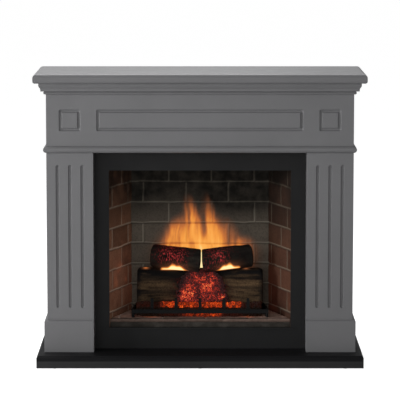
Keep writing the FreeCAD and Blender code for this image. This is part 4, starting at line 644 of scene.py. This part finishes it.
# Each top log: side of the middle, how far its inner and outer ends move along X, and its heart of heat.
TOP_LOGS = (
    {"node": "top_log_left", "side": -1, "inner": 0.005, "outer": 0.0125, "heart": -0.098, "reach": 0.036},
    {"node": "top_log_right", "side": 1, "inner": 0.0045, "outer": -0.001, "heart": 0.062, "reach": 0.022},
)

# Hot char where each top log rests on the base log, with its lower edge measured from the base log's top.
GLOW_POOLS = (
    {"side": -1, "middle": -0.086, "half": 0.050, "low": -0.0045, "slope": 0.0},
    {"side": 1, "middle": 0.095, "half": 0.044, "low": -0.001, "slope": 0.09},
)
POOL_LIP, POOL_DEPTH = 0.003, 0.010
# The two tongues of each pool: place and half width in shares of the pool, and height.
POOL_TONGUES = ((0.12, 0.24, 0.015), (-0.32, 0.22, 0.009))


def log_mesh(name, start, end, half_depth, half_height, squareness, seed, ridge, attributes, lean=0.0):
    """A rough log between two points, with ends square to X that lean a little."""
    axis = Vector(end) - Vector(start)
    length = axis.length
    forward = axis.normalized()
    side = forward.cross(Vector((0, 0, 1))).normalized()
    up = side.cross(forward)
    t = np.linspace(0, 1, LOG_ALONG)
    from_end = np.minimum(t, 1 - t)
    inset = from_end / CAP_SHARE
    rounded = np.sqrt(np.clip(1 - (1 - inset) ** 2, 0, 1)) * CAP_TAPER + 1 - CAP_TAPER
    taper = np.where(inset < 1, rounded, 1.0)
    angle = np.linspace(0, 2 * np.pi, LOG_AROUND, endpoint=False)
    c, s = np.cos(angle), np.sin(angle)
    reach = (np.abs(c) ** squareness + np.abs(s) ** squareness) ** (-1 / squareness)
    ring = np.column_stack([c * reach * half_depth, s * reach * half_height])
    turn, step = np.meshgrid(np.arange(LOG_AROUND), np.arange(LOG_ALONG))
    turn, step = turn.ravel(), step.ravel()
    sample = np.column_stack([t[step] * length, ring[turn, 0], ring[turn, 1]])
    bark = fractal(sample, BARK_SIZE, seed) - 0.5
    knots = fractal(sample, KNOT_SIZE, seed + 5, octaves=3) - 0.5
    lift = bark * ridge + knots * ridge * KNOT_LIFT
    flat = ring[turn] * taper[step][:, None]
    size = np.linalg.norm(flat, axis=1)[:, None]
    flat = flat * (1 + (lift - ridge * RIDGE_SINK)[:, None] / size)
    base = np.array(start)[None, :] + np.outer(t[step] * length, np.array(forward))
    points = base + np.outer(flat[:, 0], np.array(side)) + np.outer(flat[:, 1], np.array(up))
    ahead = points[:, 0] - base[:, 0] - lean * (base[:, 2] - points[:, 2])
    points = points - np.outer((1 - t[step]) * ahead / forward[0], np.array(forward))
    points, faces = closed_tube(points, np.array(forward))
    made = attributes(points)
    made["bark"] = np.concatenate([bark + 0.5, [0.5, 0.5]])
    return add_mesh(name, points, faces, made)


def closed_tube(points, forward):
    """Faces of a log's rings, with one more point in the middle of each end."""
    faces = []
    last = (LOG_ALONG - 1) * LOG_AROUND
    for start in range(0, last, LOG_AROUND):
        for i in range(LOG_AROUND):
            k = (i + 1) % LOG_AROUND
            faces.append((start + i, start + k, start + LOG_AROUND + k, start + LOG_AROUND + i))
    centre = len(points)
    for i in range(LOG_AROUND):
        k = (i + 1) % LOG_AROUND
        faces.append((centre, k, i))
        faces.append((centre + 1, last + i, last + k))
    ends = [points[:LOG_AROUND].mean(axis=0) - forward * CAP_BULGE,
            points[last:].mean(axis=0) + forward * CAP_BULGE]
    return np.vstack([points, ends]), faces


def pool_light(x, z):
    """Light from the hot char where each top log rests on the base log."""
    total = np.zeros(len(x))
    for pool in GLOW_POOLS:
        u = (x - pool["middle"]) / pool["half"]
        out = u * pool["side"]
        over = z - (BASE_TOP + pool["low"] + pool["slope"] * (x - pool["middle"]))
        depth = POOL_LIP + POOL_DEPTH * smooth(out, -1.0, -0.45) * np.sqrt(np.clip(1 - out ** 6, 0, 1))
        for middle, half, height in POOL_TONGUES:
            depth += height * bell(out, middle, half)
        inside = smooth(over, -0.002, 0.0015) * (1 - smooth(over - depth, -0.011, 0.003))
        inside *= 1 - 0.30 * smooth(over, 0.012, 0.026)
        fade = 1 - smooth(np.abs(u), 0.85, 1.05)
        halo = 0.26 * bell(u, 0, 0.8) * bell(over, 0.012, 0.014)
        total += np.maximum(inside * fade, halo * smooth(over, -0.006, 0.0))
    return np.clip(total, 0, 1)


def log_look(name, low, high, ember, dash=1.0):
    """Charred bark, with heat in its cracks where the attribute "warmth" is high."""
    look = Look(name)
    grain = look.noise(34.0, 7.0, look.stretched(0.25, 2.4, 2.4))
    speck = look.noise(240.0, 4.0, look.stretched(1.0, 1.0, dash))
    tone = look.math("ADD", look.math("MULTIPLY", grain, 0.7),
                     look.math("MULTIPLY", look.attribute("bark"), 0.4))
    body = look.ramp(tone, (0.40, low), (0.66, high))
    body = look.mix(look.ramp(speck, (0.40, 0.0), (0.70, 0.6)), body, (0.008, 0.007, 0.007))
    body = look.mix(look.attribute("char"), body, (0.009, 0.008, 0.008))
    vein = look.ramp(look.cell_edges(210.0, look.stretched(1.0, 1.0, 0.32)), (0.02, 1.0), (0.16, 0.0))
    vein = look.math("MULTIPLY", vein, look.ramp(speck, (0.46, 0.0), (0.60, 1.0)))
    vein = look.math("MULTIPLY", vein, look.attribute("warmth"), True)
    light = look.mix(1.0, look.ramp(vein, (0.0, 0.0), (1.0, ember)),
                     look.ramp(look.attribute("glow"), *FLAME_COLOURS), "ADD")
    look.bump(grain, 0.8, 0.003)
    return look.surface(Base_Color=body, Roughness=0.9, Specular_IOR_Level=0.12,
                        Emission_Color=light, Emission_Strength=1.2)


def base_log_attributes(points):
    """Char and heat of the base log, which is blackest at its top, middle, foot and ends."""
    x, z = points[:, 0], points[:, 2]
    top = smooth(z, BASE_TOP - 0.035, BASE_TOP - 0.012)
    middle = bell(x, 0.005, 0.095, 4)
    foot = 1 - smooth(z, base_low[2] + 0.01, base_low[2] + 0.05)
    patch = smooth(fractal(points, (0.12, 0.05, 0.020), seed=71), 0.40, 0.62)
    ends = smooth(np.abs(x), base_high[0] - 0.02, base_high[0] - 0.004)
    char = np.clip(0.72 * top + 0.75 * middle + 0.7 * foot + 0.60 * patch + 0.5 * ends, 0, 1)
    heat = 0.5 * bell(x, 0, 0.06) * smooth(BASE_TOP - z, 0.02, 0.05)
    shoulder = 0.62 * bell(np.abs(x + 0.014), 0.170, 0.010) * smooth(z, BASE_TOP - 0.006, BASE_TOP)
    glow = pool_light(x, z) * smooth(z, BASE_TOP - 0.02, BASE_TOP - 0.004)
    return {"warmth": heat, "glow": np.maximum(glow, shoulder), "char": char}


def top_log_attributes(heart, reach):
    """A function that gives char and heat for a top log, hottest round its heart."""
    def made(points):
        x, z = points[:, 0], points[:, 2]
        heat = bell(x, heart, reach) * bell(z, LOG_TOP - 0.032, 0.018)
        cloud = fractal(points, 0.03, seed=63, octaves=3)
        wide = 0.16 * bell(x, heart * 0.8, 0.05) * smooth(cloud, 0.35, 0.6)
        return {"warmth": np.clip(heat * 0.50 + wide, 0, 1), "glow": pool_light(x, z),
                "char": 0.35 + 0.55 * fractal(points, 0.05, seed=61, octaves=3)}
    return made


def base_log():
    look = log_look("bark", (0.012, 0.008, 0.006), (0.170, 0.104, 0.054), (0.50, 0.04, 0.02))
    y = (base_low[1] + base_high[1]) / 2
    z = (base_low[2] + base_high[2]) / 2
    half_depth = (base_high[1] - base_low[1]) / 2
    half_height = (base_high[2] - base_low[2]) / 2
    log = log_mesh("base_log_bark", (base_low[0], y, z), (base_high[0], y, z), half_depth, half_height,
                   BASE_SQUARENESS, 41, BASE_RIDGE, base_log_attributes)
    finish_piece(log, look, "log", "base_log")


def top_logs():
    """Two logs that rise outwards and to the back, a little lower than in the CAD."""
    look = log_look("charred_bark", (0.004, 0.004, 0.003), (0.052, 0.044, 0.032), (0.95, 0.075, 0.075), 0.35)
    radius = (base_high[1] - base_low[1]) * TOP_RADIUS_SHARE
    for spec in TOP_LOGS:
        side, node = spec["side"], spec["node"]
        low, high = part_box(node)
        inner_x, outer_x = (low[0], high[0]) if side > 0 else (high[0], low[0])
        inner = (inner_x + spec["inner"], low[1] + radius, low[2] + radius - LOG_SINK)
        outer = (outer_x + spec["outer"], high[1] - radius, high[2] - radius - LOG_SINK)
        log = log_mesh(node + "_bark", inner, outer, radius, radius * TOP_HEIGHT_RATIO, TOP_SQUARENESS,
                       47 + side, TOP_RIDGE, top_log_attributes(spec["heart"], spec["reach"]),
                       side * LOG_END_LEAN)
        finish_piece(log, look, "log", node)


# ---- Embers ----
COAL = 0.0062
HEAP_COAL = 0.0042
BALL_RINGS, BALL_SIDES = 7, 10
COAL_STRETCH = (0.75, 1.25)
COAL_DENT = 0.25
COAL_SHAKE = 0.3
# Distances from coal to coal, in coals.
BED_PITCH, BED_LAYER = 1.25, 1.1
HEAP_PITCH, HEAP_LAYER = 0.95, 0.85
BED_SHARE = 0.36
BED_SLOPE = 0.82
BED_START = 0.008
BED_SPLIT = FLOOR_TOP + 0.024
TINE_GAP = 0.02
HEAP_HALF = 0.084
HEAP_TAPER = 0.020
HEAP_CROWN = 0.60
HEAP_X = 0.007
HEAP_BULGE = 0.012
HEAP_DROP = 0.002
HEAP_COLOURS = ((0.0, (0.004, 0.001, 0.001)), (0.2, (0.045, 0.005, 0.004)), (0.40, (0.28, 0.018, 0.010)),
                (0.58, (0.85, 0.060, 0.022)), (0.78, (1.0, 0.14, 0.040)), (1.0, (1.0, 0.42, 0.12)))
BED_COLOURS = ((0.0, (0.003, 0.001, 0.0)), (0.2, (0.040, 0.004, 0.001)), (0.40, (0.26, 0.022, 0.003)),
               (0.60, (0.60, 0.046, 0.004)), (0.80, (0.88, 0.105, 0.009)), (1.0, (1.0, 0.22, 0.03)))

# Hottest parts of the heap: place across, rise, half width, half rise, strength.
HOT_SPOTS = (
    {"x": -0.044, "rise": 0.23, "half": 0.034, "reach": 0.26, "heat": 0.74},
    {"x": 0.026, "rise": 0.42, "half": 0.022, "reach": 0.15, "heat": 0.78},
    {"x": 0.028, "rise": 0.10, "half": 0.020, "reach": 0.12, "heat": 0.50},
    {"x": 0.072, "rise": 0.14, "half": 0.020, "reach": 0.11, "heat": 0.60},
    {"x": 0.013, "rise": 0.72, "half": 0.050, "reach": 0.24, "heat": 0.36},
)


def ember_look(name, fineness, floor, ash, stops):
    """Coals: dark crust, cracked through to red and orange heat."""
    look = Look(name)
    crust = look.noise(fineness, 4.0)
    patch = look.ramp(look.noise(60.0, 3.0), (0.38, 0.5 + floor), (0.60, 1.0))
    fine = look.ramp(crust, (0.40, 0.25 + floor), (0.62, 1.0))
    heat = look.math("MULTIPLY", look.math("MULTIPLY", fine, patch), look.attribute("warmth"), True)
    light = look.ramp(heat, *stops)
    body = look.ramp(crust, (0.3, (0.010, 0.009, 0.010)), (0.7, ash))
    look.bump(crust, 0.7, 0.002)
    return look.surface(Base_Color=body, Roughness=0.9, Specular_IOR_Level=0.15,
                        Emission_Color=light, Emission_Strength=1.0)


def unit_ball():
    """Points and faces of a ball of radius 1."""
    points = [(0, 0, 1)]
    for j in range(1, BALL_RINGS):
        tilt = math.pi * j / BALL_RINGS
        for i in range(BALL_SIDES):
            turn = 2 * math.pi * i / BALL_SIDES
            points.append((math.sin(tilt) * math.cos(turn), math.sin(tilt) * math.sin(turn), math.cos(tilt)))
    points.append((0, 0, -1))
    after = [(i + 1) % BALL_SIDES for i in range(BALL_SIDES)]
    faces = [(0, 1 + i, 1 + after[i]) for i in range(BALL_SIDES)]
    for j in range(BALL_RINGS - 2):
        for i in range(BALL_SIDES):
            a, b = 1 + j * BALL_SIDES + i, 1 + j * BALL_SIDES + after[i]
            faces.append((a, a + BALL_SIDES, b + BALL_SIDES, b))
    last = len(points) - 1
    start = last - BALL_SIDES
    faces += [(last, start + after[i], start + i) for i in range(BALL_SIDES)]
    return np.array(points), faces


def coals(name, places, sizes, heats, look, rng):
    """Many lumps in one piece."""
    ball, ball_faces = unit_ball()
    points, faces, heat = [], [], []
    for place, size, warmth in zip(places, sizes, heats):
        stretch = rng.uniform(*COAL_STRETCH, 3) * size
        dents = fractal(ball + rng.uniform(0, 50, 3), 0.8, seed=3, octaves=2) - 0.5
        lump = ball * stretch * (1 + COAL_DENT * dents)[:, None]
        turn = rng.uniform(0, math.pi)
        c, s = math.cos(turn), math.sin(turn)
        lump = lump @ np.array([[c, -s, 0], [s, c, 0], [0, 0, 1]])
        faces += [tuple(i + len(points) * len(ball) for i in f) for f in ball_faces]
        points.append(lump + place)
        heat.append(np.full(len(ball), warmth))
    piece = add_mesh(name, np.vstack(points), faces, {"warmth": np.concatenate(heat)})
    finish_piece(piece, look, "char", "ember_bed")


def tine_places():
    """Places across of the grate's upright tines."""
    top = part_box("fire_grate")[1][2]
    found = []
    for x in sorted(v.co.x for v in frame["nodes"]["fire_grate"].data.vertices if v.co.z > top - 0.001):
        if not found or x - found[-1][-1] > TINE_GAP:
            found.append([])
        found[-1].append(x)
    return [sum(group) / len(group) for group in found]


def bed_heat(x, z, clear):
    """Heat of a coal in the bed: dark at the ends, with painted shade right behind the tines, and a low glow
    in the middle.
    """
    reach = 1 - 0.9 * smooth(np.abs(x - 0.005), 0.120, 0.150)
    middle = 1 - 0.8 * smooth(np.abs(x - 0.012), 0.045, 0.085)
    under = (0.72 - 0.62 * smooth(z, BED_SPLIT - 0.008, BED_SPLIT)) * middle
    # Painted shade: coals close behind a tine glow less.
    upper = smooth(z, BED_SPLIT, BED_SPLIT + 0.007) * (0.3 + 0.7 * smooth(clear, 0.003, 0.009))
    return reach * max(upper, under)


def bed_coals(low, high, top, rng):
    """Places, sizes and heats of the coals behind the grate's bar."""
    places, sizes, heats = [], [], []
    step = COAL * BED_PITCH
    tines = tine_places()
    for x in np.arange(low[0] + COAL, high[0] - COAL, step):
        clear = min(abs(x - tine) for tine in tines)
        for y in np.arange(low[1] + COAL, high[1], step):
            rise = (y - low[1]) / (high[1] - low[1])
            lift = FLOOR_TOP + BED_START + rise * (top - FLOOR_TOP) * BED_SLOPE
            for z in np.arange(FLOOR_TOP + COAL, lift + COAL, step * BED_LAYER):
                places.append(np.array([x, y, z]) + rng.uniform(-COAL_SHAKE, COAL_SHAKE, 3) * COAL)
                sizes.append(COAL * rng.uniform(0.8, 1.2))
                heats.append(rng.uniform(0.48, 1.08) * bed_heat(x, z, clear))
    return places, sizes, heats


def heap_heat(x, rise, half):
    """Heat of a coal in the heap: the hot spots, darker towards the heap's edge."""
    heat = 0.24
    for spot in HOT_SPOTS:
        heat += spot["heat"] * bell(x, spot["x"], spot["half"]) * bell(rise, spot["rise"], spot["reach"])
    return heat * (1 - 0.85 * smooth(np.abs(x - HEAP_X), half * (0.88 - 0.30 * rise), half * 1.02))


def heap_coals(back, foot, peak, rng):
    """Places, sizes and heats of the heap against the base log."""
    places, sizes, heats = [], [], []
    for level in np.arange(foot, peak, HEAP_COAL * HEAP_LAYER):
        rise = (level - foot) / (peak - foot)
        crown = np.sqrt(1 - (np.clip(rise - HEAP_CROWN, 0, 1) / (1 - HEAP_CROWN)) ** 2)
        half = (HEAP_HALF - HEAP_TAPER * rise) * crown * rng.uniform(0.88, 1.04) + 0.005
        for x in np.arange(-half, half, HEAP_COAL * HEAP_PITCH) + HEAP_X:
            bulge = HEAP_BULGE * (1 - rise) * (1 - ((x - HEAP_X) / (half + 0.01)) ** 2)
            shake = rng.uniform(-COAL_SHAKE, COAL_SHAKE, 3) * HEAP_COAL
            places.append(np.array([x, back - HEAP_DROP - bulge, level]) + shake)
            sizes.append(HEAP_COAL * rng.uniform(0.6, 1.0))
            heats.append(rng.uniform(0.45, 1.35) * 1.10 * heap_heat(x, rise, half))
    return places, sizes, heats


def embers():
    """A bed of coals behind the bar, and a heap of finer ones over it."""
    rng = np.random.default_rng(7)
    bed_look = ember_look("hot_bed", 260.0, 0.12, (0.016, 0.012, 0.011), BED_COLOURS)
    heap_look = ember_look("hot_coal", 420.0, 0.0, (0.036, 0.026, 0.027), HEAP_COLOURS)
    low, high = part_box("ember_bed")
    top = low[2] + (high[2] - low[2]) * BED_SHARE
    coals("ember_bed_coals", *bed_coals(low, high, top, rng), bed_look, rng)
    coals("ember_heap_coals", *heap_coals(high[1], top, BASE_TOP - HEAP_DROP, rng), heap_look, rng)


# ---- CAD nodes that stay ----
def slot_looks():
    """A look for each material slot whose nodes keep their CAD shape."""
    black_steel = painted("black_steel", (0.010, 0.010, 0.010), 0.5, bump=0.12, specular=0.25)
    return {
        "mantel_paint": painted("grey_paint", (0.187, 0.186, 0.192), 0.44, 0.03, specular=0.42,
                                round_edge=0.0025),
        "raw_board": bare_board(),
        "hearth_black": painted("hearth_black", (0.009, 0.009, 0.010), 0.50, 0.08, specular=0.12),
        "surround_black": painted("surround_black", (0.0145, 0.0145, 0.0150), 0.55, 0.08, specular=0.2),
        "black_steel": black_steel,
        "template_black": black_steel,
        "zinc_steel": metal("zinc_steel", (0.62, 0.63, 0.64), 0.35),
        "rubber": moulded("rubber", (0.018, 0.018, 0.018), 0.8),
        "grate_black": moulded("grate_iron", (0.008, 0.008, 0.008), 0.6, 260.0, 0.5, specular=0.15),
        "bright_metal": metal("bright_metal", (0.86, 0.86, 0.86), 0.12),
        "motor_metal": painted("motor_paint", (0.08, 0.085, 0.09), 0.45),
        "circuit": circuit_board(),
        "alloy": metal("alloy", (0.70, 0.71, 0.72), 0.3),
        "control_plastic": moulded("control_plastic", (0.016, 0.016, 0.017), 0.45),
    }


def dress(materials, special):
    """Gives every CAD node the look of its material slot, or its own look."""
    slots = {part["node"]: part["material_slot"] for part in frame["record"]["subparts"]}
    for name, node in frame["nodes"].items():
        look = special.get(name) or materials.get(slots[name])
        if look:
            node.data.materials.clear()
            node.data.materials.append(look)


# ---- Studio ----
def room():
    """A room that is white to the camera and dim to everything else."""
    world = bpy.data.worlds.new("studio")
    bpy.context.scene.world = world
    world.use_nodes = True
    nodes, links = world.node_tree.nodes, world.node_tree.links
    sky = nodes["Background"]
    sky.inputs["Strength"].default_value = 1.0
    path = nodes.new("ShaderNodeLightPath")
    tint = nodes.new("ShaderNodeMix")
    tint.data_type = "RGBA"
    tint.inputs[MIX_FIRST].default_value = (ROOM_LIGHT, ROOM_LIGHT, ROOM_LIGHT, 1.0)
    tint.inputs[MIX_SECOND].default_value = (ROOM_WHITE, ROOM_WHITE, ROOM_WHITE, 1.0)
    links.new(path.outputs["Is Camera Ray"], tint.inputs[MIX_FACTOR])
    links.new(tint.outputs[MIX_RESULT], sky.inputs["Color"])


def lamp(name, place, target, width, height, power):
    """A soft rectangular light that faces its target."""
    data = bpy.data.lights.new(name, "AREA")
    data.shape = "RECTANGLE"
    data.size, data.size_y = width, height
    data.energy = power
    made = bpy.data.objects.new(name, data)
    made.location = place
    made.rotation_euler = (Vector(target) - Vector(place)).to_track_quat("-Z", "Y").to_euler()
    bpy.context.scene.collection.objects.link(made)


def studio_floor():
    """White paper under the fireplace, which shines only towards the camera."""
    far = FLOOR_REACH
    ground = add_mesh("studio_floor", [(-far, -far, 0), (far, -far, 0), (far, far, 0), (-far, far, 0)],
                      [(0, 1, 2, 3)], shade_smooth=False)
    look = Look("paper")
    fibre = look.noise(3.0, 3.0)
    seen = look.node("ShaderNodeLightPath")
    light = look.mix(seen, (0.0, 0.0, 0.0), (1.0, 1.0, 1.0))
    look.surface(Base_Color=look.ramp(fibre, (0.3, 0.60), (0.7, 0.62)), Roughness=0.9,
                 Specular_IOR_Level=0.0, Emission_Color=light, Emission_Strength=FLOOR_GLOW)
    ground.data.materials.append(look.material)


def camera():
    data = bpy.data.cameras.new("camera")
    data.sensor_width = SENSOR
    data.lens = CAMERA_LENS
    data.clip_end = 100
    made = bpy.data.objects.new("camera", data)
    made.location = (0, -CAMERA_DISTANCE, CAMERA_HEIGHT)
    made.rotation_euler = (math.radians(90 - CAMERA_PITCH), 0, 0)
    bpy.context.scene.collection.objects.link(made)
    bpy.context.scene.camera = made


def main():
    # The hearth's front rails get a lighter copy of its black paint: painted light on the front face.
    hearth_edge_painted_light = painted("hearth_edge_painted_light", (0.024, 0.024, 0.025), 0.40, 0.08, specular=0.3)
    dress(slot_looks(), {"hearth_rails": hearth_edge_painted_light})
    walls()
    base_log()
    top_logs()
    embers()
    room()
    for settings in LAMPS:
        lamp(**settings)
    studio_floor()
    camera()
    view = bpy.context.scene.view_settings
    view.view_transform = "Standard"
    view.look = "None"


main()
